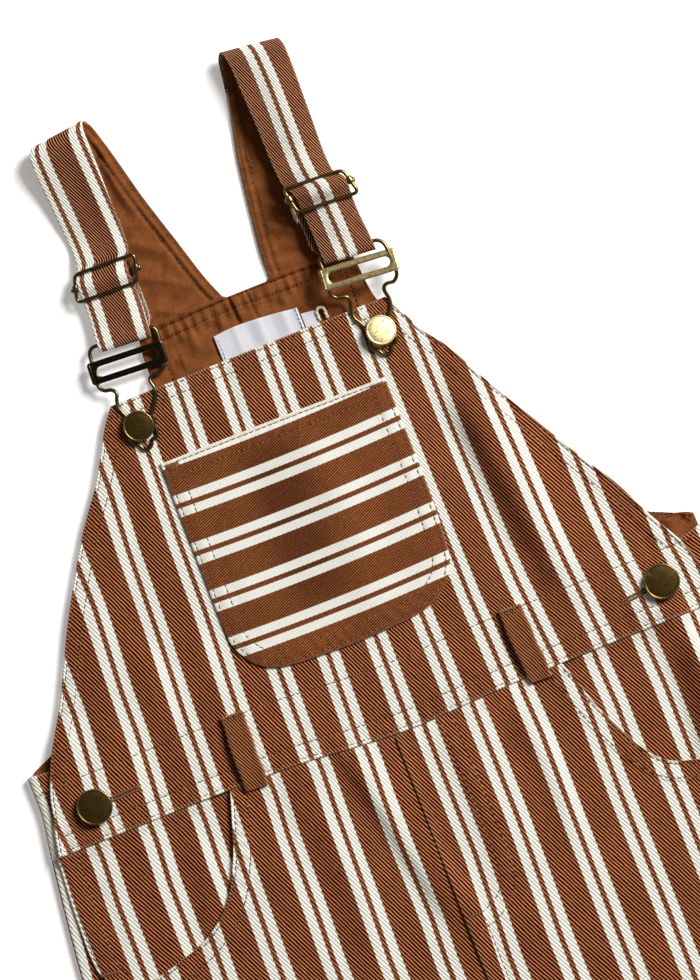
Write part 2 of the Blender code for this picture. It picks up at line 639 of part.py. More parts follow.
def buckle(side):
    """A wire with a key-hole foot for the button, and a slotted plate across it."""
    points = []
    for x, y in BUCKLE_WIRE[side]:
        z = mix(WIRE_Z_FOOT, 5.0, smooth(190.0, 200.0, y))
        z = mix(z, WIRE_Z_TOP, smooth(208.0, 214.0, y))
        points.append((x, y, z))
    wire("buckle_wire_" + side, points, WIRE, "brass", True)
    half_x, half_y = PLATE_SIZE[0] / 2, PLATE_SIZE[1] / 2
    slot_x, slot_y = PLATE_SLOT[0] / 2, PLATE_SLOT[1] / 2
    outer, inner = [], []
    for corner_x, corner_y, first in ((1, 1, 0), (-1, 1, 90), (-1, -1, 180), (1, -1, 270)):
        for angle in (first, first + 30, first + 60, first + 90):
            a = math.radians(angle)
            outer.append((corner_x * (half_x - 1.2) + 1.2 * math.cos(a),
                          corner_y * (half_y - 1.2) + 1.2 * math.sin(a)))
            inner.append((corner_x * (slot_x - slot_y) + slot_y * math.cos(a),
                          slot_y * math.sin(a)))
    turn = math.radians(PLATE[side]["turn"])
    middle = PLATE[side]["middle"]

    def set_down(point):
        x = middle[0] + point[0] * math.cos(turn) - point[1] * math.sin(turn)
        y = middle[1] + point[0] * math.sin(turn) + point[1] * math.cos(turn)
        return (x, y, PLATE_Z)

    rows = [[set_down(point) for point in ring + ring[:1]] for ring in (inner, outer)]
    sheet("buckle_plate_" + side, (rows,), "brass", thickness=1.0)


def button(name, middle, radius, foot):
    """A pressed metal button: a post, a rolled rim and an almost flat cap."""
    rim = foot + 1.9
    profile = [(0.0, foot), (2.3, foot), (2.3, rim - 0.1), (radius - 0.9, rim - 0.1),
               (radius, rim + 0.5), (radius, rim + 1.3), (radius - 0.6, rim + 2.0),
               (radius * 0.6, rim + 2.4), (0.0, rim + 2.5)]
    return turned(name, profile, middle, "brass")


def main():
    """Build every piece."""
    clear_scene()
    for side in ("left", "right"):
        back_leg(side)
        front_leg(side)
        pocket_bearer(side)
        strap(side)
        belt_loop(side)
        slider(side)
        buckle(side)
        x, y = BIB_BUTTONS[side]
        button("bib_button_" + side, (x, y), 6.9, bib_height(x, y) + FLAT + GAP)
        x, y = SIDE_BUTTONS[side]
        button("side_button_" + side, (x, y), 8.0, bib_height(x, y) + FLAT + GAP)
    back_bib("back_bib", FLAT, WRAP_Z_BAND, (WRAP_Z_BAND - FLAT) / 2, 5.0)
    inner_top = WRAP_Z_BAND - LAYER
    back_bib("back_bib_lining", LINING, inner_top, (inner_top - LINING) / 2, 6.0)
    bib_front()
    bib_pocket()
    flat_label("label_main", LABEL)
    flat_label("label_size", SIZE_TAB)
    label_loop()


main()
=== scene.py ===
"""Looks of kids' striped bib overalls laid flat: cloth, stitching, labels and brass fittings.

Laid out as an add-on and run as a script. Tables are in millimetres, in the frame of the
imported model: X to the right as the garment lies, Y towards the straps, Z up from the surface.
"""
import math
from functools import partial

import bpy
import numpy as np
from bpy.props import FloatProperty, FloatVectorProperty, PointerProperty
from bpy.types import Operator, Panel, PropertyGroup
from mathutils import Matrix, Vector

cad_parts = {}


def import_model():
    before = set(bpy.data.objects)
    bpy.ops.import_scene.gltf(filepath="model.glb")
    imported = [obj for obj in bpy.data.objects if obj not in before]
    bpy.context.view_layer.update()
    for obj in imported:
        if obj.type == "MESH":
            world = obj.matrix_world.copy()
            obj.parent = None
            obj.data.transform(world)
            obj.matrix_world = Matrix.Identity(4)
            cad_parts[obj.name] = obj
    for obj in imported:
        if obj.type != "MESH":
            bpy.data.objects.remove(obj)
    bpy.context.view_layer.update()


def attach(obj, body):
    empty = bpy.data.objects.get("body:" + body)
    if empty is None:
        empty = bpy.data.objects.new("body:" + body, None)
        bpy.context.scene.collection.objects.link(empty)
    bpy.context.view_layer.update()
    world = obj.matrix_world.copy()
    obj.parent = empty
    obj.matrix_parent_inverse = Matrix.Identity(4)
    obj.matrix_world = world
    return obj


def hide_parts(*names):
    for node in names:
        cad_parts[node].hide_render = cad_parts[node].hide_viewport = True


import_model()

bl_info = {"name": "Striped Bib Overalls", "version": (1, 0, 0), "blender": (4, 5, 0),
    "location": "View3D > Sidebar > Overalls",
    "description": "Builds striped twill bib overalls with stitching, labels and brass fittings",
    "category": "Add Mesh",}

MM = 0.001
TURN = 2 * math.pi
SIDES = (("left", -1, 1), ("right", 1, 2))  # side, its sign across, its column in a table

# Layers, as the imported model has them
CLOTH = 1  # thickness of the cloth
GAP = 0.3  # air between two pieces that touch
LAYER = CLOTH + GAP
FLAT = CLOTH / 2  # middle of the back, which lies on the surface
LINING = FLAT + LAYER
FRONT = 4.4
FRONT_OPENING = 6.2
FRONT_HEM_EDGE = 3.6
LEG_LENGTH = 585
CROTCH = -212
CENTRE_BACK = 11.5
BIB_TOP = 189
BACK_TOP = 216
OPENING_END = -66
WRAP_Z_BAND = 4.7
WRAP_Z_LEG = 3.3
FOLD_RADIUS = 5.5
SLIDER_FRAME_Z = 6.6
SLIDER_BAR_Z = 4.75
SLIDER_TURN = 1.62
WIRE_Z_TOP = 4.8
WIRE_Z_FOOT = 5.95
BAR_TURN = (3.7, 1.55)
TAIL_Z = 3.2
BEARER_DROP = 1.65
PLATE_Z = 6.5
WIRE = 0.93
SLIDER_WIRE = 0.88

SIDE_FOLD = (  # height, left, right
    (-585, -187, 190), (-450, -188.5, 191.5), (-300, -189.5, 192.5), (-212, -188.5, 191.5),
    (-150, -185, 188.5), (-100, -180.5, 184.5), (-51.4, -175.7, 180), (-29, -173.1, 177.6),
    (5.2, -168.3, 172.5), (25.2, -165, 169.3), (34.8, -164.7, 168.4), (44.1, -164.7, 168.2),
)
INSEAM = (  # height, left leg, right leg
    (-585, -40, 42), (-450, -31, 33), (-300, -13, 15), (-225, -2.2, 3), (-212, -0.9, 0.9),
)
WAIST_SEAM = (  # across, height
    (-175, 5), (-80, 4.9), (-43.3, 3.9), (-18.9, 1.7), (6.7, 0.2), (34.4, 1.1), (62.2, 2.2), (90, 2.5),
    (180, 2.6),
)
BIB_SIDES = (  # height, left edge, right edge
    (0, -165.2, 167), (12.9, -162.9, 163.2), (24.3, -159.8, 158.8), (33.8, -157.4, 155.6),
    (50, -150.2, 146.8), (70, -138.3, 137.6), (83.5, -131.2, 129.4), (104, -120.6, 117.6),
    (138, -100, 98.6), (157.2, -85.8, 88.9), (168.3, -78.9, 81.1), (180.6, -71.7, 75),
    (189, -65.4, 70.6),
)
BACK_SIDES = (  # height, left edge, right edge of the back bib
    (44.1, -164, 167.4), (50.6, -149, 148), (60, -130, 136), (80, -106, 117), (110, -84, 98),
    (150, -60, 79), (190, -44.5, 66.5), (206, -43, 64.5), (216, -41.5, 63.5),
)
SCOOP = {  # across, height of the front's pocket edge
    "left": ((-177.2, -68), (-162, -65.8), (-145.6, -63.5), (-132.4, -60.6), (-115.2, -54.7),
        (-100.6, -42.9), (-90.4, -25.3), (-85, -10.6), (-80, 4.5)),
    "right": ((181.4, -68), (162, -67.4), (144, -66), (126.4, -62.3), (112, -57), (102, -45),
        (92.3, -24), (87.4, -9), (84, 2.1)),
}
BEARER = {  # height, outer edge, inner edge
    "left": ((-100, -150, -92), (-85, -153, -72), (-70, -159, -64), (-60, -163, -62),
        (-50, -167.6, -60), (-25, -167.6, -59), (4.6, -165.4, -59)),
    "right": ((-100, 153, 96), (-85, 156, 78), (-70, 162, 69), (-60, 166, 67), (-50, 171, 65),
        (-25, 170.5, 63), (4.6, 168.3, 63)),
}
FOLDS = (  # across, upper end, lower end, lean, half width, height
    (-36, 16, -95, 0.2, 7, -0.9), (-26.4, 14, -104, 0.205, 7, 3.1), (71, 152, 18, 0.11, 8, -1.2),
    (86.2, 146, 16, 0.112, 10.5, 6.2), (33, -20, -200, -0.05, 12, 0.8),
    (-112, -90, -330, -0.06, 16, 1.4), (118, -90, -340, 0.07, 16, 1.3),
    (-70, -240, -560, -0.1, 17, 1.3), (-135, -300, -575, 0.03, 14, -1), (74, -230, -550, 0.11, 17, 1.2),
    (140, -320, -575, -0.04, 14, -1),
)
CREASES = (  # start across and height, end across and height, half width, height
    (-12, 192, -13.6, 157, 2.6, -0.5), (-17.5, 190, -18.5, 160, 3.2, 0.45),
    (52.5, 190, 54.5, 158, 3.2, -0.5), (58, 190, 62, 150, 3.6, 0.45), (-62, 166, -78, 112, 4.5, 0.5),
    (-70, 160, -92, 96, 5, -0.5), (-108, 110, -122, 64, 8, 1), (-96, 84, -99, 30, 6, 1.6),
    (-69, 80, -70, 38, 5.5, 1.4), (-86, 84, -84, 40, 5, -0.5), (-128, 70, -136, 34, 5, -0.4),
    (-146, 60, -150, 4, 8, 0.8), (114, 96, 128, 40, 5.5, -0.8), (128, 96, 147, 42, 5.5, 1.7),
    (10, 158, 12, 50, 10, 1.1), (-20, 158, -18, 60, 8, -0.45), (-42, 120, -46, 50, 7, 0.4),
    (40, 130, 36, 50, 8, 0.35), (-30, 40, 34, 36, 4, -0.25), (70, 0, 66, -74, 7, -0.55),
    (54, 4, 56, -96, 6, 1.6), (18, 4, 22, -84, 6, 1.1), (44, 2, 46, -70, 5, -0.5),
    (-3.5, -50, -1, -124, 4.5, 1.8), (-52, 2, -50, -120, 7, 1.5), (-64, -4, -62, -100, 6, -0.5),
    (-78, -30, -70, -120, 6, 0.5), (122, 8, 122, -62, 6, -0.6), (140, 8, 136.5, -66, 8, 5.4),
    (118, 4, 112, -58, 6, 0.5), (-156, -4, -155, -58, 3.2, -0.4), (-104, -8, -113, -62, 7, 2),
    (-12, -118, -62, -176, 8, 0.75), (-6, -150, -74, -206, 7, -0.7), (14, -126, 66, -186, 8, 0.7),
    (8, -160, 82, -214, 7, -0.65), (-150, -186, -96, -226, 9, 0.6), (158, -196, 104, -238, 9, 0.6),
    (-160, -322, -108, -352, 8, 0.85), (-152, -348, -92, -366, 7, -0.7),
    (-60, -330, -104, -372, 8, 0.7), (62, -336, 110, -362, 8, 0.8), (160, -340, 112, -380, 8, 0.75),
    (70, -372, 128, -398, 7, -0.65), (-150, -470, -110, -520, 9, 0.6), (150, -460, 112, -526, 9, 0.6),
    (-66, -480, -58, -556, 8, -0.55), (70, -470, 62, -560, 8, -0.55),
)
BACK_STRAP = {  # height, left edge, right edge of the strap's lower run
    "left": ((216, -41.5, 1.5), (225, -42, -2.2), (250, -44.5, -9.4), (269.4, -47, -15),
        (285, -49, -19), (301.7, -50.8, -22.8), (315, -52.5, -27.4)),
    "right": ((216, 23.5, 63.5), (225, 23.5, 64), (250, 26.7, 65), (275, 30.6, 65.8), (292.8, 35, 66),
        (302, 36.8, 66), (320, 40.2, 67)),
}
FRONT_STRAP = {  # height, left edge, right edge of the strap's upper run
    "left": ((212, -60.9, -36), (218, -60.5, -35.4), (225, -60, -34.7), (233, -59.1, -34.1),
        (240, -59.4, -34.5), (246, -59.6, -34.7), (250, -58.3, -33.2), (254, -55.7, -30.6),
        (275, -56.1, -30.1), (303, -57.6, -29.8), (315, -57.4, -29.8)),
    "right": ((210, 50.4, 74.9), (224, 50.2, 74.2), (233, 49.9, 73.4), (247, 48.7, 73.6),
        (253, 45.6, 69.6), (281, 44.6, 69.8), (303, 44.1, 70.5), (320, 43.1, 70.5)),
}
LIFT = {"left": 0, "right": 5.5}  # how much higher a strap's fittings lie than the other's
# Heights and leans of the fold, the slider and the bar; the first stripe pair below the slider,
# above it and at the fold; stripe scale, tail and lining; how far the front run rises over the
# middle of its way and rolls to its left, its ridge (place, width, height), how far the lower
# run rises at the fold, how far the front run bulges between slider and buckle, and how far the
# slider stands up; radius of the fold
STRAP_SIZES = {
    "left": {"fold": 314.4, "slider": 244.3, "bar": 216.6, "fold_lean": 0.13, "slider_lean": -0.033,
        "bar_lean": -0.07, "pair": (2.5, 3.5, 3.85), "scale": 1.09, "tail": 1.7, "cover": (-0.1, -0.1),
        "rise": -0.7, "roll": 2.6, "low": 0.8, "ridge": (0.76, 0.14, 0.9), "belly": 0, "perk": 0,
        "radius": 4.5},
    "right": {"fold": 319.6, "slider": 245.3, "bar": 215.5, "fold_lean": -0.13, "slider_lean": -0.053,
        "bar_lean": -0.087, "pair": (11.25, 12, 13.2), "scale": 1.1, "tail": -3.2, "cover": (1.3, 0.3),
        "rise": 0.9, "roll": 0, "low": 2.4, "ridge": (0.62, 0.3, 1.8), "belly": 1, "perk": 2,
        "radius": FOLD_RADIUS},
}
SLIDER = {  # corners of the frame and ends of the bar, across and height
    "left": {"frame": ((-58.6, 251.1), (-29.2, 250.1), (-32.6, 237.5), (-62, 238.6)),
        "bar": ((-62.6, 244.9), (-28.5, 243.8))},
    "right": {"frame": ((45.3, 251.6), (73.9, 250), (77.1, 237.7), (47.7, 239.3)),
        "bar": ((44.3, 246.2), (78.2, 244.4))},
}
# Radius and place along the axis: the sleeve that curls round the frame's wire, and its knob
SLEEVE = ((0.82, 1.5), (0.82, -1.5), (1.35, -1.75), (1.65, -1.55), (1.78, -1.1), (1.78, 1.1),
    (1.65, 1.55), (1.35, 1.75))
KNOB = ((0.7, -1), (1.3, -0.7), (1.5, 0), (1.35, 0.55), (0.95, 0.9), (0.4, 1.1))
# The left wires are a near-black copy of the same brass: painted shade
WIRE_LOOK = {"left": "shaded wire", "right": "wire brass"}
FRAYED = {  # a strap's frayed end: across, way out, middle height and spread
    "left": (-34.2, 0.9, 227.5, 4),
    "right": (46.6, -0.9, 239, 2),
}
BUCKLE_WIRE = {  # one side from the top bar down to the foot, then up again
    "left": ((-61, 217.2), (-63.6, 216.9), (-65.3, 215.2), (-65.9, 211), (-67.2, 200.8), (-66.8, 198.2),
        (-65, 196.5), (-62.3, 195.8), (-60.6, 193.6), (-61.8, 190), (-62.1, 186), (-60.6, 182.2),
        (-60.2, 178.4), (-61.2, 174.2), (-62.6, 170.8), (-61.6, 168.6), (-59.8, 167.6), (-58.6, 165),
        (-56.6, 164.3), (-54.6, 165.2), (-53.2, 167.7), (-51, 168.2), (-50, 169.8), (-49.6, 174),
        (-48.8, 176.6), (-48.6, 179.2), (-45.7, 183.2), (-43.8, 187), (-43.6, 190.2), (-44.2, 192.8),
        (-43.4, 194.6), (-41.4, 195.2), (-38.2, 195.2), (-35.9, 196.6), (-35, 198.6), (-33.4, 207.6),
        (-32.9, 213), (-33.7, 215.1), (-36, 216)),
    "right": ((51.4, 216.5), (49.6, 216.2), (48.6, 214.6), (48.6, 211), (47.7, 201.8), (47.7, 199),
        (49.3, 196.8), (52, 196), (54.2, 195.2), (54.9, 193.4), (54.2, 190.8), (53.6, 187.6),
        (54, 184.4), (55.6, 181.8), (57, 178.6), (57.2, 174.4), (56, 170.6), (56.6, 168.2),
        (58.4, 167.4), (59.8, 164.9), (62, 163.9), (64.2, 164.8), (65.6, 167.3), (67.6, 168),
        (68.4, 170.4), (67.4, 174.4), (67.8, 178.6), (70.2, 182), (71.8, 184.9), (72, 188),
        (71.4, 191.2), (71.9, 193.3), (73.8, 194.2), (76.8, 193.9), (79, 195.7), (79.8, 198.6),
        (79.6, 208), (79.2, 211.4), (77.9, 213.4), (75.6, 214.5)),
}
PLATE = {  # middle of the slotted plate, turn in degrees, slopes up and across
    "left": ((-50.7, 204.6), -3.6, 0.02, 0),
    "right": ((64.1, 204.7), -5, -0.15, -0.06),
}
PLATE_SECTION = (  # share from the slot to the outer edge, height above the middle
    (0, -0.35), (0, 0.25), (0.05, 0.45), (0.14, 0.56), (0.35, 0.58), (0.65, 0.58), (0.86, 0.55),
    (0.95, 0.42), (1, 0.2), (1, -0.3), (0.95, -0.45), (0.5, -0.5), (0.05, -0.45),
)
PLATE_SIZE = (36.4, 10.6)
PLATE_SLOT = (29.4, 4.8)
BIB_BUTTONS = {"left": (-56.6, 175.7), "right": (62.7, 174.9)}
SIDE_BUTTONS = {"left": (-140.3, 20.7), "right": (140, 20.2)}
BUTTON_RIM = (  # inset from the edge, rise over the rim's foot
    (0.5, 0.05), (0.12, 0.4), (0, 0.85), (0.06, 1.3), (0.25, 1.7), (0.5, 1.9), (0.75, 1.86),
    (0.95, 1.66), (1.2, 1.7),
)
BUTTON_TILT = {  # lean of each cap to the right and up the garment, in degrees
    "bib_left": (-1.5, -1),
    "bib_right": (9, 6),
    "side_left": (-2, 0),
    "side_right": (0.5, -1),
}
BUTTONHOLE = {  # from the button outwards: across, height
    "left": ((-140.3, 20.7), (-119, 21.3)),
    "right": ((140, 20.2), (120.3, 17.6)),
}
BELT_LOOPS = {  # corners: top left, top right, bottom right, bottom left
    "left": ((-71.9, 37), (-60.9, 36.5), (-62.3, 0.6), (-73.6, 1.2)),
    "right": ((64.7, 35.2), (75.8, 34.6), (77.4, -1.6), (66.4, -1)),
}
POCKET_OUTLINE = {  # each side of the patch pocket, in the order that it is read
    "left": ((-54.2, 155.8), (-54.7, 110), (-55, 70), (-53.6, 63.6), (-49.2, 56)),
    "bottom": ((-49.2, 56), (-45.4, 52.4), (-40, 49.4), (-31.7, 47.6), (-15, 46.5), (0, 46.1),
        (18.3, 46.7), (30.8, 47.9), (40.2, 50.6), (46.8, 55.2)),
    "right": ((56.7, 154.7), (56.5, 100), (55, 76), (53.6, 66.4), (51, 60.2), (46.8, 55.2)),
    "top": ((-54.2, 155.8), (0, 155.5), (56.7, 154.7)),
}
FLY_ROWS = (  # inner and outer row of the mock fly, from the seam upwards
    ((0.4, -90.6), (7.2, -90.4), (12.2, -88.3), (17.8, -84.6), (21.4, -77), (22, -60), (21.6, -2)),
    ((0.4, -98.4), (7.8, -97.4), (13.2, -95.6), (19.6, -91.4), (25.5, -84.6), (28.2, -73), (28.4, -55),
    (27.6, -2)),
)
LABEL_OUTLINE = ((-9.8, 201.1), (0, 201.9), (15.6, 201.1), (31, 199.3))
LABEL_WAVES = (  # across, half width, height of the soft waves across the labels
    (12, 2.2, 0.3), (6.5, 2.4, -0.25), (24, 2, 0.28), (18.5, 2.2, -0.22), (0.5, 1.8, 0.22),
    (30, 0.8, 0.25),
)
# Number of the first pair, and the lines (height, across) of every pair's thin middle stripe
STRIPE_PAIRS = {
    "bib": (-7, (
        ((5, -158.6), (25, -160.4), (45, -160.2)),
        ((5, -136.6), (25, -136.8), (45, -135.1), (65, -133.4)),
        ((5, -113), (25, -111.4), (45, -109.9), (65, -109.5), (105, -106.6)),
        ((5, -88), (25, -87.2), (45, -86.5), (85, -84), (125, -82.4), (155, -79.8)),
        ((5, -63.8), (25, -63.5), (45, -62.5), (85, -60), (125, -58.9), (185, -56.2)),
        ((5, -39.4), (45, -38.5), (155, -34.9), (185, -33.5)),
        ((5, -16.5), (45, -14.8), (155, -12.4), (185, -11.5)),
        ((5, 8), (45, 8.6), (155, 10.2), (185, 11.1)),
        ((5, 32.5), (45, 32.1), (155, 33), (185, 33.4)),
        ((5, 56.8), (25, 56.4), (45, 55.5), (155, 55.4), (185, 55.8)),
        ((5, 81.4), (25, 79.8), (45, 78.4), (65, 77.6), (105, 77.2), (165, 76.8)),
        ((5, 105.2), (25, 103.8), (45, 102), (65, 100.9), (105, 99.8), (125, 98.8)),
        ((5, 129.6), (25, 127.8), (45, 125.8), (65, 124.8)),
        ((5, 152.8), (25, 151.4), (35, 150)),
    )),
    "front_left": (-6, (
        ((-65, -138.5), (-30, -137.2)),
        ((-75, -114.1), (-65, -113.6), (-30, -112)),
        ((-75, -89.2), (-35, -87.6), (-5, -85.8)),
        ((-85, -64.8), (-65, -63.8), (-25, -62.8), (-5, -61.2)),
        ((-95, -40.6), (-65, -39.4), (-25, -38.2), (-5, -37.2)),
        ((-105, -16.6), (-85, -15.5), (-45, -16), (-25, -15.7), (-5, -14.8)),
    )),
    "front_right": (1, (
        ((-115, 11), (-85, 12.8), (-65, 14), (-25, 14), (-5, 14.2)),
        ((-115, 36.5), (-85, 37.6), (-55, 38.4), (-5, 38.4)),
        ((-115, 61.8), (-65, 62.1), (-25, 62.8), (-5, 62.1)),
        ((-115, 86.8), (-65, 86.4), (-25, 87.2), (-5, 86.6)),
        ((-85, 111), (-65, 110.8), (-30, 110.4)),
    )),
    "bearer_left": (-3, (
        ((-55, -147.6), (-25, -147.2), (-5, -146)),
        ((-55, -121.8), (-25, -121.5), (-5, -120)),
        ((-55, -97.6), (-25, -97), (-5, -95.8)),
    )),
    "bearer_right": (1, (
        ((-35, 99.8), (-25, 100), (-5, 99.2)),
        ((-55, 123.9), (-25, 124.1), (-5, 123.2)),
        ((-55, 148.2), (-5, 147.5)),
    )),
}
POCKET_PAIR = (63.55, 23.27, 1.2)  # lowest pair's height, spacing, rise towards the sides

# Share of the half thickness at a sheet's outermost rings, and the rings' distances inwards
RIM_SHARE = (0.3, 0.78)
RIM_STEPS = (0, 0.16, 0.5, 1, 1.5, 2)
RIM_WEAR = (1, 0.8, 0.35, 0.1)


def linear(code):
    """Turn an sRGB hex colour to linear light, opaque."""
    parts = [int(code[place:place + 2], 16) / 255 for place in (1, 3, 5)]
    return tuple(part / 12.92 if part <= 0.04045 else ((part + 0.055) / 1.055) ** 2.4
        for part in parts) + (1,)


def colour(name, description, code):
    """A colour property with its default from an sRGB hex value."""
    return FloatVectorProperty(name=name, description=description, default=linear(code), size=4, min=0,
        max=1, subtype="COLOR")


def measure(name):
    """A size of the cloth or the sewing, in millimetres."""
    return getattr(bpy.context.scene.overalls_sizes, name) / MM


def tint(name):
    """A colour of the garment."""
    return getattr(bpy.context.scene.overalls_colours, name)


def length(name, description, millimetres):
    """A length property with its default in millimetres."""
    return FloatProperty(name=name, description=description, default=millimetres * MM, min=0,
        precision=5, unit="LENGTH")


class OverallsSizes(PropertyGroup):
    """Sizes of the weave, the stripes and the sewing thread."""
    repeat: length("Stripe Repeat", "From one pair of cream stripes to the next", 23.3)
    thin: length("Thin Brown Stripe", "Brown stripe inside a pair of cream ones", 2.3)
    cream: length("Cream Stripe", "Width of one cream stripe", 4.1)
    rib: length("Twill Rib", "Spacing of the twill's diagonal ribs", 1.32)
    strap_rib: length("Strap Twill Rib", "Spacing of the ribs on the straps", 1.18)
    pocket_rib: length("Pocket Rib", "Spacing of the ribs on the patch pocket", 0.98)
    lining_rib: length("Lining Rib", "Spacing of the lining's fine ribs", 0.62)
    rib_angle: FloatProperty(name="Twill Lean", description="Lean of the ribs off the stripes",
        default=math.radians(25), subtype="ANGLE")
    stitch: length("Stitch", "Length of one stitch", 2.25)
    stitch_gap: length("Stitch Gap", "Gap between two stitches", 0.7)
    thread: length("Sewing Thread", "Thickness of the sewing thread", 0.58)


class OverallsColours(PropertyGroup):
    """Colours of the cloths, the threads and the metal."""
    # Each cloth's line colour is partly its yarn and partly painted shade in the grooves between its
    # ribs; the pocket's two colours lie closer because its ribs run along the light
    brown_rib: colour("Brown Rib", "Raised ribs of the brown stripes", "#a84c1b")
    brown_line: colour("Brown Line", "Lines between the ribs of the brown stripes", "#3a0600")
    # Painted highlight along the top of every brown rib
    crest: colour("Rubbed Crest", "Fibre ends on the tops of the brown ribs", "#e5b789")
    pressed_rib: colour("Pressed Rib", "Ribs of the patch pocket, pressed flatter", "#8f512a")
    pressed_line: colour("Pressed Line", "Lines between the pressed ribs", "#5a230a")
    cream_rib: colour("Cream Rib", "Raised ribs of the cream stripes", "#fffdf6")
    cream_line: colour("Cream Line", "Lines between the ribs of the cream stripes", "#dedbca")
    strap_rib: colour("Strap Rib", "Raised ribs of the straps' brown", "#a04b2c")
    strap_line: colour("Strap Line", "Lines between the straps' ribs", "#2c0300")
    lining_rib: colour("Lining Rib", "Raised threads of the lining", "#925931")
    lining_line: colour("Lining Line", "Lines between the lining's threads", "#663619")
    loop_rib: colour("Belt Loop Rib", "Raised ribs of the belt loops", "#a8663e")
    loop_line: colour("Belt Loop Line", "Lines between the belt loops' ribs", "#401606")
    thread: colour("Brown Thread", "Sewing thread of the topstitching", "#80502a")
    lining_thread: colour("Lining Thread", "Sewing thread on the lining", "#3a1606")
    label: colour("Label", "Satin of the labels", "#d6d4d9")
    cord: colour("Cord", "Cotton cord", "#ddd0b8")
    brass: colour("Rubbed Brass", "Brass where it is rubbed bright", "#d8c592")
    patina: colour("Patina", "Dark patina of the antique brass", "#5c440c")
    # Painted shade: the near-black copy of the brass for the left fittings
    shaded_brass: colour("Blackened Brass", "Brass left nearly black", "#1e150a")
    floor: colour("Floor", "Pale floor", "#fdfdfd")


def smooth(low, high, value):
    """Rise from 0 at low to 1 at high with level ends."""
    part = np.clip((np.asarray(value, float) - low) / (high - low), 0, 1)
    return part * part * (3 - 2 * part)


def bell(value, half):
    """One at zero, falling softly to both sides."""
    return np.exp(-(value / half) ** 2)


def mix(start, end, part):
    """Go from start to end."""
    return start + (end - start) * part


def read(table, key, column):
    """Read a column of a table at keys, with a soft curve through its rows."""
    rows = np.array(table, float)
    rows = rows[np.argsort(rows[:, 0], kind="stable")]
    keys, values = rows[:, 0], rows[:, column]
    key = np.clip(np.asarray(key, float), keys[0], keys[-1])
    low = np.clip(np.searchsorted(keys, key) - 1, 0, len(keys) - 2)
    before, high, after = np.maximum(low - 1, 0), low + 1, np.minimum(low + 2, len(keys) - 1)
    width = keys[high] - keys[low]
    part = (key - keys[low]) / width
    rise_low = (values[high] - values[before]) / (keys[high] - keys[before]) * width
    rise_high = (values[after] - values[low]) / (keys[after] - keys[low]) * width
    square, cube = part ** 2, part ** 3
    return ((2 * cube - 3 * square + 1) * values[low] + (cube - 2 * square + part) * rise_low
        + (3 * square - 2 * cube) * values[high] + (cube - square) * rise_high)


def read_side(table, y, x):
    """Read the left column where x is left of the middle, and the right column elsewhere."""
    return np.where(np.asarray(x) < 0, read(table, y, 1), read(table, y, 2))


def soft_path(points, step, closed=False):
    """A smooth path through points, with a point every step."""
    points = np.array(points, float)
    if closed:
        points = np.vstack([points[-3:], points, points[:3]])
    place = travel(points)
    table = np.column_stack([place, points])
    start, end = (place[3], place[-3]) if closed else (0, place[-1])
    count = max(1, round((end - start) / step))
    keys = np.linspace(start, end, count + 1)[:count + (not closed)]
    return np.column_stack([read(table, keys, column) for column in range(1, table.shape[1])])


def unit(vectors):
    """Vectors with a length of one."""
    return vectors / np.linalg.norm(vectors, axis=-1, keepdims=True)


def travel(path):
    """Distance along a path to each of its points."""
    return np.concatenate([[0], np.cumsum(np.linalg.norm(np.diff(path, axis=0), axis=1))])


def joined(*parts):
    """Places from their coordinates, any of which may be one value for all."""
    return np.stack(np.broadcast_arrays(*parts), -1)


def offset(path, distance):
    """A path moved sideways, to its left for a positive distance."""
    run = unit(np.gradient(path, axis=0))
    return path + distance * joined(-run[:, 1], run[:, 0])


def distance_to(path, x, y, reach):
    """Distance from places to a path, and the place along it, for places within reach."""
    near_box = ((x > path[:, 0].min() - reach) & (x < path[:, 0].max() + reach)
        & (y > path[:, 1].min() - reach) & (y < path[:, 1].max() + reach))
    px, py = x[near_box], y[near_box]
    best, along, run = np.full(px.shape, 1e3), np.zeros(px.shape), 0
    for (ax, ay), (bx, by) in zip(path, path[1:]):
        dx, dy = bx - ax, by - ay
        size = math.hypot(dx, dy)
        part = np.clip(((px - ax) * dx + (py - ay) * dy) / size ** 2, 0, 1)
        gap = np.hypot(px - ax - part * dx, py - ay - part * dy)
        closer = gap < best
        best = np.where(closer, gap, best)
        along = np.where(closer, run + part * size, along)
        run += size
    distance, places = np.full(x.shape, 1e3), np.zeros(x.shape)
    distance[near_box], places[near_box] = best, along
    return distance, places


def ripple(x, y, size, seed):
    """Smooth uneven values from -1 to 1 that change over about a size."""
    lattice = np.random.default_rng(seed).uniform(-1, 1, (64, 64))
    across, up = np.asarray(x) / size, np.asarray(y) / size
    column, row = np.floor(across).astype(int), np.floor(up).astype(int)
    part_x, part_y = smooth(0, 1, across - column), smooth(0, 1, up - row)
    low = mix(lattice[row % 64, column % 64], lattice[row % 64, (column + 1) % 64], part_x)
    high = mix(lattice[(row + 1) % 64, column % 64], lattice[(row + 1) % 64, (column + 1) % 64], part_x)
    return mix(low, high, part_y)


def creases(x, y, rows, bow=0.06, start=(-0.15, 0.35), end=(1.15, 0.6)):
    """Soft ridges and troughs: start, end, half width and height of each."""
    total = 0
    for start_x, start_y, end_x, end_y, half, height in rows:
        dx, dy = end_x - start_x, end_y - start_y
        size = math.hypot(dx, dy)
        part = ((x - start_x) * dx + (y - start_y) * dy) / size ** 2
        side = ((x - start_x) * dy - (y - start_y) * dx) / size
        side = side + bow * size * np.sin(math.pi * np.clip(part, 0, 1))
        along = smooth(*start, part) * smooth(*end, part)
        total += height * along * bell(side, half)
    return total


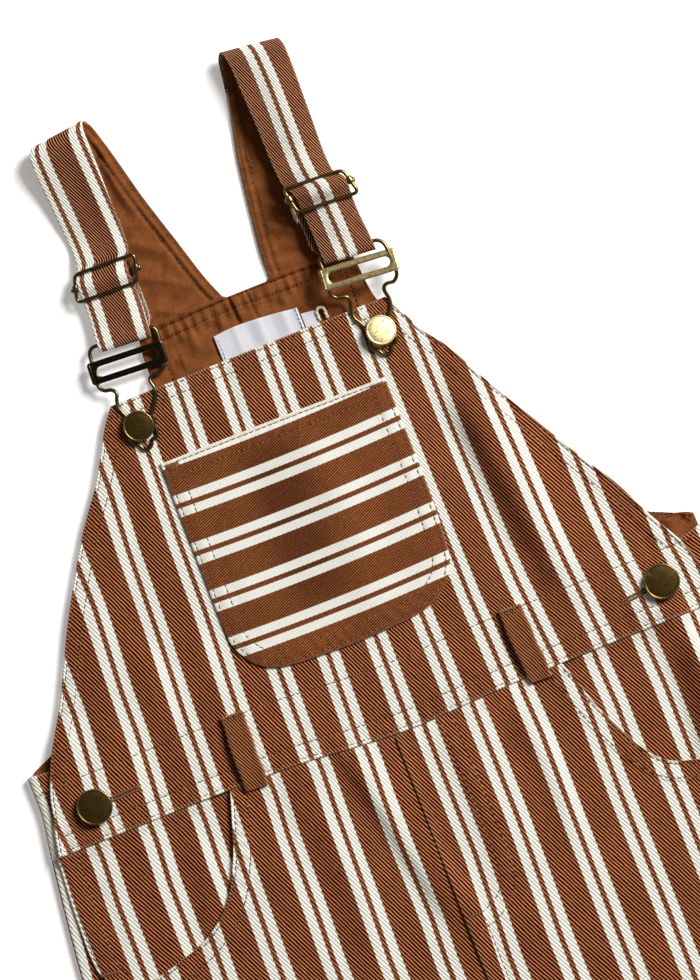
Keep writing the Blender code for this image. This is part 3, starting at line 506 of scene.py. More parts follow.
def fold_height(x, y):
    """Height that the broad folds, the creases and the cloth's unevenness add to the front."""
    total = 0.2 * ripple(x, y, 31, 5) + 0.07 * ripple(x, y, 11, 6)
    for across, upper, lower, lean, half, height in FOLDS:
        off = x - across - lean * (upper - y)
        along = smooth(upper, upper - 30, y) * smooth(lower, lower + 40, y)
        total += height * along * bell(off / np.where(off < 0, 0.75, 1.4), half)
    return total + creases(x, y, CREASES)


def leg_height(x, y):
    """Middle of the front leg, or of the waist, above the surface."""
    inside = np.abs(read_side(SIDE_FOLD, y, x) - x)
    opening = smooth(-80, -62, y) * (1 - smooth(46, 62, y))
    lifted = mix(FRONT_OPENING, FRONT, smooth(40, 62, inside))
    closed = mix(LINING, FRONT, np.sin(math.pi / 2 * np.minimum(1, inside / 15)))
    height = mix(closed, lifted, opening)
    settle = smooth(0, 14, inside)
    inner = np.abs(read_side(INSEAM, y, x) - x)
    near = mix(LINING, FRONT, np.sin(math.pi / 2 * np.minimum(1, inner / 13)))
    below = y < CROTCH
    height = np.where(below, np.minimum(height, near), height)
    settle = np.where(below, settle * smooth(0, 12, inner), settle)
    return height + settle * fold_height(x, y)


def seam_lift(piece, x, y):
    """How far a piece's edge stands up over its neighbour at a seam, or sinks under it."""
    waist = bell(y - read(WAIST_SEAM, x, 1), 2)
    if piece == "bib":
        return 0.5 * waist
    middle = bell(x - centre_front(y), 1.9) * smooth(CROTCH, CROTCH + 12, y)
    return -0.35 * waist + (0.6 if piece == "right" else -0.6) * middle * (1 - waist)


def bib_height(x, y):
    """Middle of the front bib above the surface."""
    inside = np.abs(read_side(BIB_SIDES, y, x) - x)
    upper = mix(FRONT_HEM_EDGE, FRONT, smooth(0, 15, inside)) + fold_height(x, y)
    band = leg_height(x, np.minimum(y, 46))
    return mix(band, upper, smooth(44, 64, y))


def stripe_number(first, lines, x, y):
    """Number of stripe repeats across at places, read from the lines of the stripe pairs."""
    columns = [np.interp(y, *np.transpose(line)) for line in lines]
    pitch, more = 24.2, 5
    for _ in range(more):
        columns = [columns[0] - pitch, *columns, columns[-1] + pitch]
    columns = np.stack(columns)
    place = np.clip((columns <= x).sum(axis=0) - 1, 0, len(columns) - 2)
    low, high = (np.take_along_axis(columns, place[None] + step, 0)[0] for step in (0, 1))
    return first - more + place + (x - low) / (high - low)


def groove(distance, at, depth=0.36, half=0.6):
    """Trough that a row of stitches pulls into the cloth."""
    return -depth * bell(distance - at, half)


def puckers(along, across, beat, sway, size, seed):
    """Uneven waves from -1 to 1 along a seam, as its stitches pull them into the cloth."""
    return np.sin(along * beat + sway * ripple(along, across, size, seed))


def hem(distance, along, width, rows, seed, pucker=0.2, thick=0.5, sunk=0.36):
    """Relief of a turned hem: thick to its inner edge, sunk at its rows, lightly puckered."""
    wave = np.sin((along + 0.5 * distance) * 1.02 + 2.6 * ripple(along, 0 * along, 15, seed))
    window = bell(distance - 0.55 * width, 0.75 * width)
    wave *= window * (0.65 + 0.45 * ripple(along, distance, 23, seed + 1))
    relief = thick * (1 - smooth(width, width + 1.4, distance)) + pucker * wave
    return relief + sum(groove(distance, row, sunk) for row in rows)


class Form:
    """A form being built: its points and faces, with their places on the flat cloth."""

    def __init__(self):
        self.points, self.faces, self.flat, self.wear = [], [], [], []
        self.count, self.area = 0, 0

    def add(self, points, faces, flat=None, wear=None):
        """Add points with lists of faces that count from this call's first point."""
        points = np.reshape(points, (-1, 3))
        for group in faces:
            if isinstance(group, np.ndarray):
                self.faces += (group + self.count).tolist()
            else:
                self.faces += [[corner + self.count for corner in face] for face in group]
        self.points.append(points)
        self.flat.append(np.zeros((len(points), 2)) if flat is None else np.reshape(flat, (-1, 2)))
        self.wear.append(np.zeros(len(points)) if wear is None else np.reshape(wear, -1))
        self.count += len(points)

    def make(self, name, look, *nodes):
        """Make the object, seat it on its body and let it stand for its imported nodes."""
        mesh = bpy.data.meshes.new(name)
        mesh.from_pydata(np.vstack(self.points) * MM, [], self.faces)
        corners = np.empty(len(mesh.loops), int)
        mesh.loops.foreach_get("vertex_index", corners)
        layer = mesh.uv_layers.new(name="cloth")
        layer.data.foreach_set("uv", (np.vstack(self.flat)[corners] * MM).ravel())
        wear = mesh.attributes.new("wear", "FLOAT", "POINT")
        wear.data.foreach_set("value", np.concatenate(self.wear))
        mesh.materials.append(finish(look))
        mesh.shade_smooth()
        thing = place_object(name, mesh)
        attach(thing, "root")
        if nodes:
            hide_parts(*nodes)
        return thing


def place_object(name, data):
    """A new object in the scene."""
    thing = bpy.data.objects.new(name, data)
    bpy.context.scene.collection.objects.link(thing)
    return thing


def border(grid):
    """The border of a grid, once round, counter-clockwise seen from its upper face."""
    return np.concatenate([grid[0, :-1], grid[:-1, -1], grid[-1, :0:-1], grid[:0:-1, 0]])


def shell(form, middle, flat, relief=0, thickness=CLOTH, stride=4, tone_shift=0, rubbed=1):
    """A closed sheet of cloth: a fine upper face, rounded edges and a plainer lower face."""
    rows, columns = middle.shape[:2]
    normal = unit(np.cross(np.gradient(middle, axis=1), np.gradient(middle, axis=0)))
    i, j = np.indices((rows, columns))
    ring = np.minimum(np.minimum(i, rows - 1 - i), np.minimum(j, columns - 1 - j))
    share = np.select([ring == 0, ring == 1], RIM_SHARE, 1)
    half = thickness / 2 * share
    raised = half + relief * np.minimum(1, ring / 2)
    upper = middle + normal * raised[..., None]
    lower = middle - normal * half[..., None]
    wear = np.select([ring == 0, ring == 1, ring == 2, ring == 3], RIM_WEAR, 0) * rubbed + tone_shift
    row_stops = sorted(set(range(0, rows - 1, stride)) | {rows - 1})
    column_stops = sorted(set(range(0, columns - 1, stride)) | {columns - 1})
    kept = (ring == 0) | (np.isin(i, row_stops) & np.isin(j, column_stops))
    top = np.arange(rows * columns).reshape(rows, columns)
    base = np.full((rows, columns), -1)
    base[kept] = rows * columns + np.arange(kept.sum())
    quads = np.stack([top[:-1, :-1], top[:-1, 1:], top[1:, 1:], top[1:, :-1]], -1).reshape(-1, 4)
    over, under = border(top), border(base)
    rim = np.stack([np.roll(over, -1), over, under, np.roll(under, -1)], -1)
    cells = []
    for low, high in zip(row_stops, row_stops[1:]):
        for left, right in zip(column_stops, column_stops[1:]):
            outline = [base[low, k] for k in range(left, right) if k == left or low == 0]
            outline += [base[k, right] for k in range(low, high) if k == low or right == columns - 1]
            outline += [base[high, k] for k in range(right, left, -1) if k == right or high == rows - 1]
            outline += [base[k, left] for k in range(high, low, -1) if k == high or left == 0]
            cells.append(outline[::-1])
    points = np.vstack([upper.reshape(-1, 3), lower[kept]])
    places = np.vstack([flat.reshape(-1, 2), flat[kept]])
    form.add(points, (quads, rim, cells), places, np.concatenate([wear.ravel(), wear[kept]]))
    size = np.cross(middle[1:, :-1] - middle[:-1, :-1], middle[:-1, 1:] - middle[:-1, :-1])
    form.area += np.linalg.norm(size, axis=2).sum() * MM * MM


TURNED_OVER = [0, 3, 2, 1]  # order of a face's corners that lets it look the other way


def band(here, ahead):
    """Faces between rings of points, each ring closed on itself."""
    corners = [here, ahead, np.roll(ahead, -1, -1), np.roll(here, -1, -1)]
    return np.stack(corners, -1).reshape(-1, 4)


def sweep(form, paths, radius, sides=8, closed=False, wear=None):
    """Round tubes along paths, each an array of points, all with the same number of points."""
    paths = np.asarray(paths, float)
    if paths.ndim == 2:
        paths = paths[None]
    count, steps = paths.shape[:2]
    run = unit(np.roll(paths, -1, 1) - np.roll(paths, 1, 1) if closed else np.gradient(paths, axis=1))
    side = np.cross(run, (0, 0, 1))
    side = unit(side + (np.linalg.norm(side, axis=2, keepdims=True) < 1e-4))
    rise = np.cross(side, run)
    angles = np.linspace(0, TURN, sides, endpoint=False)
    ring = np.cos(angles)[:, None] * side[:, :, None] + np.sin(angles)[:, None] * rise[:, :, None]
    size = np.broadcast_to(np.asarray(radius, float), (count, steps))[..., None, None]
    points = paths[:, :, None] + size * ring
    index = np.arange(count * steps * sides).reshape(count, steps, sides)
    ahead = np.roll(index, -1, 1) if closed else index[:, 1:]
    here = index if closed else index[:, :-1]
    faces = [band(here, ahead)] + ([] if closed else [index[:, 0], index[:, -1, ::-1]])
    shade = np.zeros((count, steps)) if wear is None else np.broadcast_to(wear, (count, steps))
    along = np.cumsum(np.linalg.norm(np.diff(paths, axis=1, prepend=paths[:, :1]), axis=2), 1)
    form.add(points, faces, joined(angles / 6.28, along[..., None]),
        np.repeat(shade[..., None], sides, 2))


def turned(form, middle, axis, profile, sides=24, closed=False):
    """A form turned round an axis from a profile of radius and place along the axis."""
    axis = unit(axis)
    side = unit(np.cross(axis, (0, 1, 0) if abs(axis[2]) > 0.9 else (0, 0, 1)))
    up = np.cross(axis, side)
    angles = np.linspace(0, TURN, sides, endpoint=False)[:, None]
    spoke = np.cos(angles) * side + np.sin(angles) * up
    rings = np.array([np.array(middle) + radius * spoke + place * axis for radius, place in profile])
    index = np.arange(len(profile) * sides).reshape(len(profile), sides)
    here, ahead = (index, np.roll(index, -1, 0)) if closed else (index[:-1], index[1:])
    quads = band(here, ahead)[:, TURNED_OVER]
    if closed:
        form.add(rings, [quads])
        return
    ends = [np.array(middle) + profile[end][1] * axis for end in (0, -1)]
    first, last = index.size, index.size + 1
    fans = [(first, index[0, k - 1], index[0, k - 2]) for k in range(sides)]
    fans += [(last, index[-1, k - 1], index[-1, k]) for k in range(sides)]
    form.add(np.vstack([rings.reshape(-1, 3), ends]), [quads, fans])


def stitch_row(form, path, top, size=1, gap=1, lift=0.1, seed=1, dark=1):
    """Stitches along a path on a cloth, each a short arch whose ends go into the cloth."""
    stitch, space, thread = (measure(name) for name in ("stitch", "stitch_gap", "thread"))
    stitch, space = stitch * size, space * gap
    path = np.asarray(path, float)
    run = travel(path)
    count = int(run[-1] / (stitch + space))
    if count < 1:
        return
    spacing = run[-1] / count
    random = np.random.default_rng(seed)
    starts = np.arange(count) * spacing + random.uniform(-0.12, 0.12, count)
    share = np.array([0, 0.3, 0.7, 1])
    places = starts[:, None] + share * (spacing - space) * random.uniform(0.93, 1.05, (count, 1))
    places = np.clip(places, 0, run[-1])
    x, y = (np.interp(places, run, values) for values in path.T)
    sway = random.uniform(-0.09, 0.09, (count, 2))
    square = unit(joined(np.gradient(y, axis=1), -np.gradient(x, axis=1)))
    x, y = np.moveaxis(joined(x, y) + square * mix(sway[:, :1], sway[:, 1:], share)[..., None], -1, 0)
    radius = thread / 2 * np.array([0.85, 1, 1, 0.85])
    # Both ends of each stitch get painted shade, scaled by dark, where they go into the cloth
    sweep(form, joined(x, y, top(x, y) + [-0.14, lift, lift, -0.14]), radius, 5,
        wear=dark * np.array([1, 0.05, 0.05, 1]))


def bar_tack(form, start, end, top, width=1.5, pitch=0.36, seed=3):
    """A dense bar of stitches from start to end."""
    start, run = np.array(start), np.subtract(end, start)
    size = np.linalg.norm(run)
    side = np.array([-run[1], run[0]]) / size
    count = max(2, int(size / pitch))
    random = np.random.default_rng(seed)
    share = (np.arange(count) + 0.5) / count
    middle = start + share[:, None] * run + random.uniform(-0.05, 0.05, (count, 1)) * side
    across = np.array([-1, -0.5, 0.5, 1])[:, None] * width / 2
    slant = np.array([-0.5, 0, 0, 0.5])[:, None] * pitch / size
    x, y = np.moveaxis(middle[:, None] + across * side + slant * run, -1, 0)
    # Painted shade where each stitch goes into the cloth
    sweep(form, joined(x, y, top(x, y) + [-0.25, 0.22, 0.22, -0.25]), 0.2, 5, wear=[0.8, 0, 0, 0.8])


def spaced(start, end, step):
    """Values from start to end, about a step apart, without the end."""
    count = max(1, int(round(abs(end - start) / step)))
    return list(np.linspace(start, end, count, endpoint=False))


def levels(start, *spans, tail=()):
    """Heights of a sheet's rows: close together at its lower edge, spans with steps, a tail."""
    rows = [start + step for step in RIM_STEPS]
    for span in spans:
        rows += spaced(*span)
    return np.array(rows + list(tail))


def before(end):
    """Places close together just before a sheet's upper edge."""
    return [end - step for step in reversed(RIM_STEPS)]


def between(outer, inner, sign, share):
    """Places across a sheet from left to right, between its outer and its inner edge."""
    left, right = (outer, inner) if sign < 0 else (inner, outer)
    return mix(left[:, None], right[:, None], share[None])


def edged(size, step, fine=RIM_STEPS):
    """Distances across a sheet, close together at both of its edges."""
    inner = spaced(fine[-1], size - fine[-1], step)
    return np.array(list(fine[:-1]) + inner + [size - value for value in reversed(fine)])


# Materials

RGBA = {"data_type": "RGBA"}
TINT = {"data_type": "RGBA", "blend_type": "MULTIPLY"}


def add(tree, kind, inputs=(), output=0, **settings):
    """Add a node, or a Math node by its operation, with settings, values and links."""
    if kind.isupper():
        kind, settings["operation"] = "Math", kind
    made = tree.nodes.new("ShaderNode" + kind)
    for name, value in settings.items():
        setattr(made, name, value)
    for key, value in inputs.items() if isinstance(inputs, dict) else enumerate(inputs):
        if isinstance(value, bpy.types.NodeSocket):
            tree.links.new(value, made.inputs[key])
        else:
            made.inputs[key].default_value = value
    return made.outputs[output]


def material(name, **sockets):
    """A new material with plain values on its shader's own sockets, and its adder of nodes."""
    made = bpy.data.materials.new(name)
    made.use_nodes = True
    shader = made.node_tree.nodes["Principled BSDF"]
    for key, value in sockets.items():
        shader.inputs[key.replace("_", " ").title().replace("Ior", "IOR")].default_value = value
    return made, shader, partial(add, made.node_tree)


def link(made, shader, **sockets):
    """Lead outputs into a shader's sockets."""
    for key, value in sockets.items():
        made.node_tree.links.new(value, shader.inputs[key.replace("_", " ")])
    return made


def twill(name, cloth, rib_size, depth, striped=False, grain=1, crest=0, sharp=1.5,
        uneven=(0.028, 0.14)):
    """Yarn-dyed cotton twill, woven: diagonal ribs, matt, with a faint nap on every rib, line colours
    that are partly painted shade between the ribs, and a painted highlight on their tops.

    The ribs are as wide as the real ones, because they are coarse enough to show.
    """
    pitch, lean = measure(rib_size), bpy.context.scene.overalls_sizes.rib_angle
    made, shader, new = material(name, roughness=0.9, specular_ior_level=0.08,
        specular_tint=linear("#ffc8a0"), sheen_weight=0.02, sheen_roughness=0.5,
        sheen_tint=linear("#e0a078"))
    flat = new("VectorMath", (new("UVMap", uv_map="cloth"), (1 / MM, 1 / MM, 1 / MM)),
        operation="MULTIPLY")
    across = new("SeparateXYZ", (flat,))
    up = across.node.outputs[1]
    slope = new("MULTIPLY", (up, math.sin(lean) / pitch))
    phase = new("MULTIPLY_ADD", (across, math.cos(lean) / pitch, slope))
    run = new("MULTIPLY_ADD", (up, math.cos(lean), new("MULTIPLY", (across, -math.sin(lean)))))
    # Yarn that is a little thick and thin makes every rib waver along its length
    drawn = new("CombineXYZ", (phase, run))
    stretch = new("VectorMath", (drawn, (0.55, 0.16, 1)), operation="MULTIPLY")
    waver = new("TexNoise", {"Vector": stretch, "Scale": 1, "Detail": 1})
    wavy = new("MULTIPLY_ADD", (waver, 0.45, phase))
    wave = new("SINE", (new("MULTIPLY", (wavy, TURN)),))
    rib = new("MapRange", (wave, -0.85, 0.85), interpolation_type="SMOOTHSTEP")
    # The weft crosses under every rib and ties it down at short steps
    tie = new("MULTIPLY_ADD", (run, 1 / (0.72 * pitch), phase))
    tied = new("SINE", (new("MULTIPLY", (tie, TURN)),))
    # Single yarns: lighter and darker lengths of each rib, and specks of weft between ribs
    yarn_place = new("VectorMath", (drawn, (1, 0.42, 1)), operation="MULTIPLY")
    yarn = new("TexNoise", {"Vector": yarn_place, "Scale": 1.7, "Detail": 2, "Roughness": 0.7})
    yarn_tone = new("MapRange", (yarn, 0.25, 0.75, 1 - 0.22 * grain, 1 + 0.26 * grain))
    # Piece dyeing and handling leave broad lighter and darker places
    broad = new("TexNoise", {"Vector": flat, "Scale": uneven[0], "Detail": 3, "Roughness": 0.6})
    broad_tone = new("MapRange", (broad, 0.3, 0.7, 1 - uneven[1], 1 + uneven[1]))
    yarn_tied = new("MULTIPLY_ADD", (tied, 0.07 * grain, yarn_tone))
    # Folded and cut edges are rubbed paler, and places given a negative value are darker in their brown
    # yarns
    wear = new("Attribute", (), 2, attribute_name="wear")
    darkening = new("MapRange", (wear, -1, 0))
    tone = new("MULTIPLY", (new("MULTIPLY", (yarn_tied, broad_tone)), darkening))
    share = new("POWER", (rib, sharp))
    rise = rib
    if striped:
        edge = new("MULTIPLY_ADD", (rib, 0.09, across))
        repeat, thin, cream = (measure(size) for size in ("repeat", "thin", "cream"))
        place = new("MULTIPLY_ADD", (edge, 1 / repeat, 0.5 - 0.045 / repeat))
        beside = new("ABSOLUTE", (new("SUBTRACT", (new("FRACT", (place,)), 0.5)),))
        shifted = new("MULTIPLY_ADD", (beside, repeat, -(thin + cream) / 2))
        # The few yarns of the thin stripe are packed between the bulky cream ones
        packed = new("MapRange", (shifted, -cream / 2 - 0.3, -cream / 2 + 0.3, 0.55, 0))
        quiet = new("Mix", {0: packed, 2: share, 3: 0.3})
        mask = new("MapRange", (new("ABSOLUTE", (shifted,)), cream / 2 - 0.12, cream / 2 + 0.12, 1, 0),
            interpolation_type="SMOOTHSTEP")
        pale = new("Mix", {0: share, 6: tint("cream_line"), 7: tint("cream_rib")}, 2, **RGBA)
        faint = new("MapRange", (tone, 0.6, 1.4, 0.94, 1.05))
        paled = new("Mix", {0: 1, 6: pale, 7: faint}, 2, **TINT)
        # Cream yarn is bulkier and fills the lines between the ribs
        rise = new("MULTIPLY", (rib, new("MULTIPLY_ADD", (mask, -0.62, 1))))
        share = quiet
    # The line colour between the ribs is partly the yarn and partly painted shade in the grooves
    ground = new("Mix", {0: share, 6: tint(cloth + "_line"), 7: tint(cloth + "_rib")}, 2, **RGBA)
    if crest:
        # A painted highlight runs along the top of every rib, where standing fibre ends would catch the
        # light
        tips = new("MULTIPLY", (new("POWER", (rib, 16)), crest))
        ground = new("Mix", {0: tips, 6: ground, 7: tint("crest")}, 2, **RGBA)
    toned = new("Mix", {0: 1, 6: ground, 7: tone}, 2, **TINT)
    if striped:
        toned = new("Mix", {0: mask, 6: toned, 7: paled}, 2, **RGBA)
    rub = new("MULTIPLY", (wear, 0.3))
    tone_shift = new("Mix", {0: rub, 6: toned, 7: linear("#d9b795")}, 2, **RGBA)
    nap = new("TexNoise", {"Vector": flat, "Scale": 2.6, "Detail": 2})
    height = new("MULTIPLY_ADD", (tied, 0.08, new("MULTIPLY_ADD", (nap, 0.3, rise))))
    bump = new("Bump", {"Height": height, "Strength": 1, "Distance": depth * MM})
    return link(made, shader, Base_Color=tone_shift, Normal=bump)


def thread_material(name, colour_name, end_shade_colour, shine):
    """Spun polyester sewing thread: a soft shine, with painted shade where it goes into the cloth."""
    made, shader, new = material(name, roughness=1 - shine, specular_ior_level=shine)
    place = new("VectorMath", (new("UVMap", uv_map="cloth"), (1 / MM, 1 / MM, 1 / MM)),
        operation="MULTIPLY")
    around = new("SeparateXYZ", (place,))
    twist = new("MULTIPLY_ADD", (around.node.outputs[1], 1.6, around))
    tone = new("MapRange", (new("SINE", (new("MULTIPLY", (twist, TURN)),)), -1, 1, 0.72, 1.2))
    body = new("Mix", {0: 1, 6: tint(colour_name), 7: tone}, 2, **TINT)
    wear = new("Attribute", (), 2, attribute_name="wear")
    # Painted shade at both ends of each stitch, where it goes into the cloth
    sunk = new("Mix", {0: wear, 6: body, 7: linear(end_shade_colour)}, 2, **RGBA)
    return link(made, shader, Base_Color=sunk)


def fibre_material(name, colour_name, stretch, scale, darkest, lightest, bumped=False, **sockets):
    """Plain cloth or cord: fine lines drawn out along its yarns."""
    made, shader, new = material(name, **sockets)
    place = new("VectorMath", (new("UVMap", uv_map="cloth"), stretch), operation="MULTIPLY")
    fibre = new("TexNoise", {"Vector": place, "Scale": scale, "Detail": 2})
    tone = new("MapRange", (fibre, 0.3, 0.7, darkest, lightest))
    link(made, shader, Base_Color=new("Mix", {0: 1, 6: tint(colour_name), 7: tone}, 2, **TINT))
    if bumped:
        bump = {"Height": fibre, "Strength": 0.4, "Distance": 0.05 * MM}
        link(made, shader, Normal=new("Bump", bump))
    return made


def brass_material(name, rubbed, edges, rough, dark):
    """Antique brass: plated, darkened and tumbled, so that high places are rubbed bright; its darker
    copies carry painted shade and its brighter copies painted highlight.
    """
    made, shader, new = material(name, metallic=1, roughness=rough)
    grain = new("VectorMath", (new("TexCoord", (), 3), (1 / MM, 1 / MM, 1 / MM)), operation="MULTIPLY")
    speck = new("TexNoise", {"Vector": grain, "Scale": 1.2, "Detail": 3, "Roughness": 0.7})
    cloud = new("TexNoise", {"Vector": grain, "Scale": 0.35, "Detail": 2})
    raised = new("MapRange", (new("NewGeometry", (), 7), 0.5, 0.58, 0, edges))
    patch = new("MapRange", (speck, 0.44, 0.62, 0, rubbed))
    cover = new("MapRange", (cloud, 0.3, 0.7, 0, rubbed * 0.6))
    share = new("ADD", (new("ADD", (patch, cover)), raised), use_clamp=True)
    body = new("Mix", {0: share, 6: tint(dark), 7: tint("brass")}, 2, **RGBA)
    gloss = new("MapRange", (share, 0, 1, rough, rough - 0.08))
    bump = new("Bump", {"Height": speck, "Strength": 0.35, "Distance": 0.05 * MM})
    return link(made, shader, Base_Color=body, Roughness=gloss, Normal=bump)


TWILLS = {  # material, its colours, its rib's size, depth of the ribs, what else differs
    "striped": ("cotton twill, striped", "brown", "rib", 0.5,
        {"striped": True, "crest": 0.46, "sharp": 2}),
    "pocket": ("cotton twill, striped, pressed", "pressed", "pocket_rib", 0.28,
        {"striped": True, "grain": 1.9, "crest": 0.14}),
    "strap": ("cotton twill, striped, strap", "strap", "strap_rib", 0.5,
        {"striped": True, "crest": 0.5, "sharp": 2.6}),
    "lining": ("cotton twill, fine", "lining", "lining_rib", 0.14,
        {"grain": 1.7, "uneven": (0.13, 0.26)}),
    "loop": ("cotton twill, plain brown", "loop", "strap_rib", 0.36, {"crest": 0.15}),
}
# A thread's colour where it sinks into the cloth is painted shade
THREADS = {  # material, its colour, colour where it sinks into the cloth, shine
    "thread": ("spun thread, brown", "thread", "#241006", 0.5),
    "lining thread": ("spun thread, dark brown", "lining_thread", "#180600", 0.1),
}
# The left fittings' near-black copies are painted shade; the right plate's heavier rubbing is partly
# painted highlight, and the right bib button's pale rubbed copy is a painted reflection
BRASSES = {  # material, share rubbed bright, brightness of its edges, roughness, dark colour
    "brass": ("antique brass, tumbled", 0.62, 0.9, 0.38, "patina"),
    "shaded wire": ("antique brass, dark wire", 0.12, 0.24, 0.26, "shaded_brass"),
    "wire brass": ("antique brass, drawn wire", 0.07, 0.22, 0.3, "patina"),
    "dark brass": ("antique brass, dark", 0.1, 0.3, 0.36, "patina"),
    "shaded plate brass": ("antique brass, blackened", 0.04, 0.16, 0.26, "shaded_brass"),
    "glinting brass": ("antique brass, rubbed", 2.2, 0.7, 0.52, "patina"),
}
FIBRES = {  # material, its colour, fibres' stretch and scale, tones, other values
    # A label of polyester satin is smooth, faintly ribbed along its warp, with a soft shine
    "satin": ("polyester satin, woven", "label", (4.2 / MM, 0.5 / MM, 1), 1, 0.92, 1.04,
              {"bumped": True, "roughness": 0.42, "sheen_weight": 0.3, "specular_ior_level": 0.5}),
    # Twisted cotton cord is matt, with shaded lines between its plies
    "cord": ("cotton cord, twisted", "cord", (1 / MM, 3 / MM, 1), 2, 0.8, 1.08,
             {"roughness": 0.85, "sheen_weight": 0.2}),
}
MATERIALS = {}


def finish(name):
    """The material of a name, made when it is first asked for."""
    if name not in MATERIALS:
        if name in TWILLS:
            *values, differences = TWILLS[name]
            MATERIALS[name] = twill(*values, **differences)
        elif name in THREADS:
            MATERIALS[name] = thread_material(*THREADS[name])
        elif name in BRASSES:
            MATERIALS[name] = brass_material(*BRASSES[name])
        else:
            *values, sockets = FIBRES[name]
            MATERIALS[name] = fibre_material(*values, **sockets)
    return MATERIALS[name]


def leg_places(piece, x, y):
    """Places on the flat cloth of a striped panel: stripes across, millimetres along."""
    return joined(stripe_number(*STRIPE_PAIRS[piece], x, y) * measure("repeat"), y)


# Back

def wrap(form, heights, turn_of, sign, radius, lower, lap_of, drop_of):
    """A lap of the back turned forward round its side fold, its stripes counted from the fold."""
    angles = np.radians(np.linspace(-90, 90, 13))
    ahead = np.linspace(0, 1, 24)[1:]
    rows, flats = [], []
    for y in heights:
        turn, lap = turn_of(y), lap_of(y)
        x = np.concatenate([turn + sign * radius * np.cos(angles), turn + (lap - turn) * ahead])
        z = lower + radius + radius * np.concatenate([np.sin(angles), np.ones(len(ahead))])
        beyond = np.clip((x - turn) / (lap - turn), 0, 1) * (z > lower + 1.99 * radius)
        rows.append(joined(x, y - drop_of(y) * beyond, z))
        flats.append(joined((travel(joined(x, z)) - math.pi / 2 * radius) * -sign, y))
    # The lap's face looks up when its points run from left to right
    shell(form, np.array(rows)[:, ::-sign], np.array(flats)[:, ::-sign], stride=3)


def centre_back(y):
    """Where the back's centre seam runs."""
    return mix(0, CENTRE_BACK, smooth(CROTCH, -20, y))


def make_back_legs():
    """Back legs, flat on the surface, with the underlap of the side opening turned forward."""
    radius = (WRAP_Z_LEG - FLAT) / 2
    for side, sign, column in SIDES:
        turn_of = lambda height: read(SIDE_FOLD, height, column) - sign * (radius + FLAT)
        y = levels(-LEG_LENGTH, (-LEG_LENGTH + 3, -120, 4), (-120, 4.2, 3), tail=(4.2, 4.55, 4.7))
        edge = mix(read(SIDE_FOLD, y, column), turn_of(y), smooth(OPENING_END - 22, OPENING_END + 2, y))
        inner = np.where(y < CROTCH, read(INSEAM, y, column), centre_back(y) + sign * GAP / 2)
        x = between(edge, inner, sign, edged(150, 3.4) / 150)
        form = Form()
        shell(form, joined(x, y[:, None], FLAT), joined((x - sign * 12) * measure("repeat") / 24,
            y[:, None]))
        heights = [OPENING_END, OPENING_END + 0.2, OPENING_END + 0.6]
        heights += spaced(OPENING_END + 1.4, 4, 2.6) + [4, 4.5, 4.7]
        wrap(form, heights, turn_of, sign, radius, FLAT,
            lambda height: sign * mix(167, 150, smooth(-64, -30, height)), lambda height: 0)
        thing = form.make("twill_back_" + side, "striped", "back_" + side)


def make_back_bib():
    """Back waistband and bib in one, with both ends turned forward, and the brown lining."""
    inwards = (WRAP_Z_BAND - FLAT) / 2 + FLAT
    for name, lower, upper, bottom in (("back_bib", FLAT, WRAP_Z_BAND, 5),
            ("back_bib_lining", LINING, WRAP_Z_BAND - LAYER, 6)):
        fine = lower == LINING
        y = levels(bottom, (bottom + 3, 44, 3), (44, 60, 1.6), (60, 183, 3.6),
            (183, BACK_TOP - 2.2, 0.7 if fine else 1.5), tail=before(BACK_TOP - 0.15))
        edges = [np.where(y <= 44.1, read(SIDE_FOLD, y, column) - sign * inwards,
            read(BACK_SIDES, y, column)) for _, sign, column in SIDES]
        x = between(*edges, -1, edged(150, 0.9 if fine else 1.6) / 150)
        grid = joined(x, y[:, None], lower)
        relief = 0
        if fine:
            # The top edge lies over the seam of each strap
            grid[..., 1] += 1.2 * strap_zone(x) * smooth(208, BACK_TOP, y)[:, None]
            grid[..., 2] += lining_lift(x, grid[..., 1])
            relief = lining_relief(x, grid[..., 1])
        form = Form()
        shell(form, grid, grid[..., :2], relief, rubbed=0 if fine else 1)
        laps = levels(bottom, (bottom + 3, 42, 1.4), tail=(42.1, 43.1, 43.6, 43.94, 44.1))
        for _, sign, column in SIDES:
            # The right lap's top edge has slipped down inside the band
            top, drop = (44.1, 3) if sign < 0 else (38, 10)
            wrap(form, 5 + (laps - 5) * (top - 5) / 39.1,
                lambda height: read(SIDE_FOLD, height, column) - sign * inwards, sign,
                (upper - lower) / 2, lower, lambda height: sign * 128,
                lambda height: drop * smooth(10, top, height))
        if not fine:
            thing = form.make("twill_" + name, "striped", name)
            continue
        thing = form.make("fine_twill_" + name, "lining", name)
        threads = Form()
        lining_top = lambda x, y: LINING + FLAT + lining_relief(x, y) + lining_lift(x, y)
        for line, size, seed in LINING_ROWS:
            stitch_row(threads, soft_path(line, 2), lining_top, size, 1.55, lift=0.3, seed=seed)
        threads.make("stitching_back_bib", "lining thread")


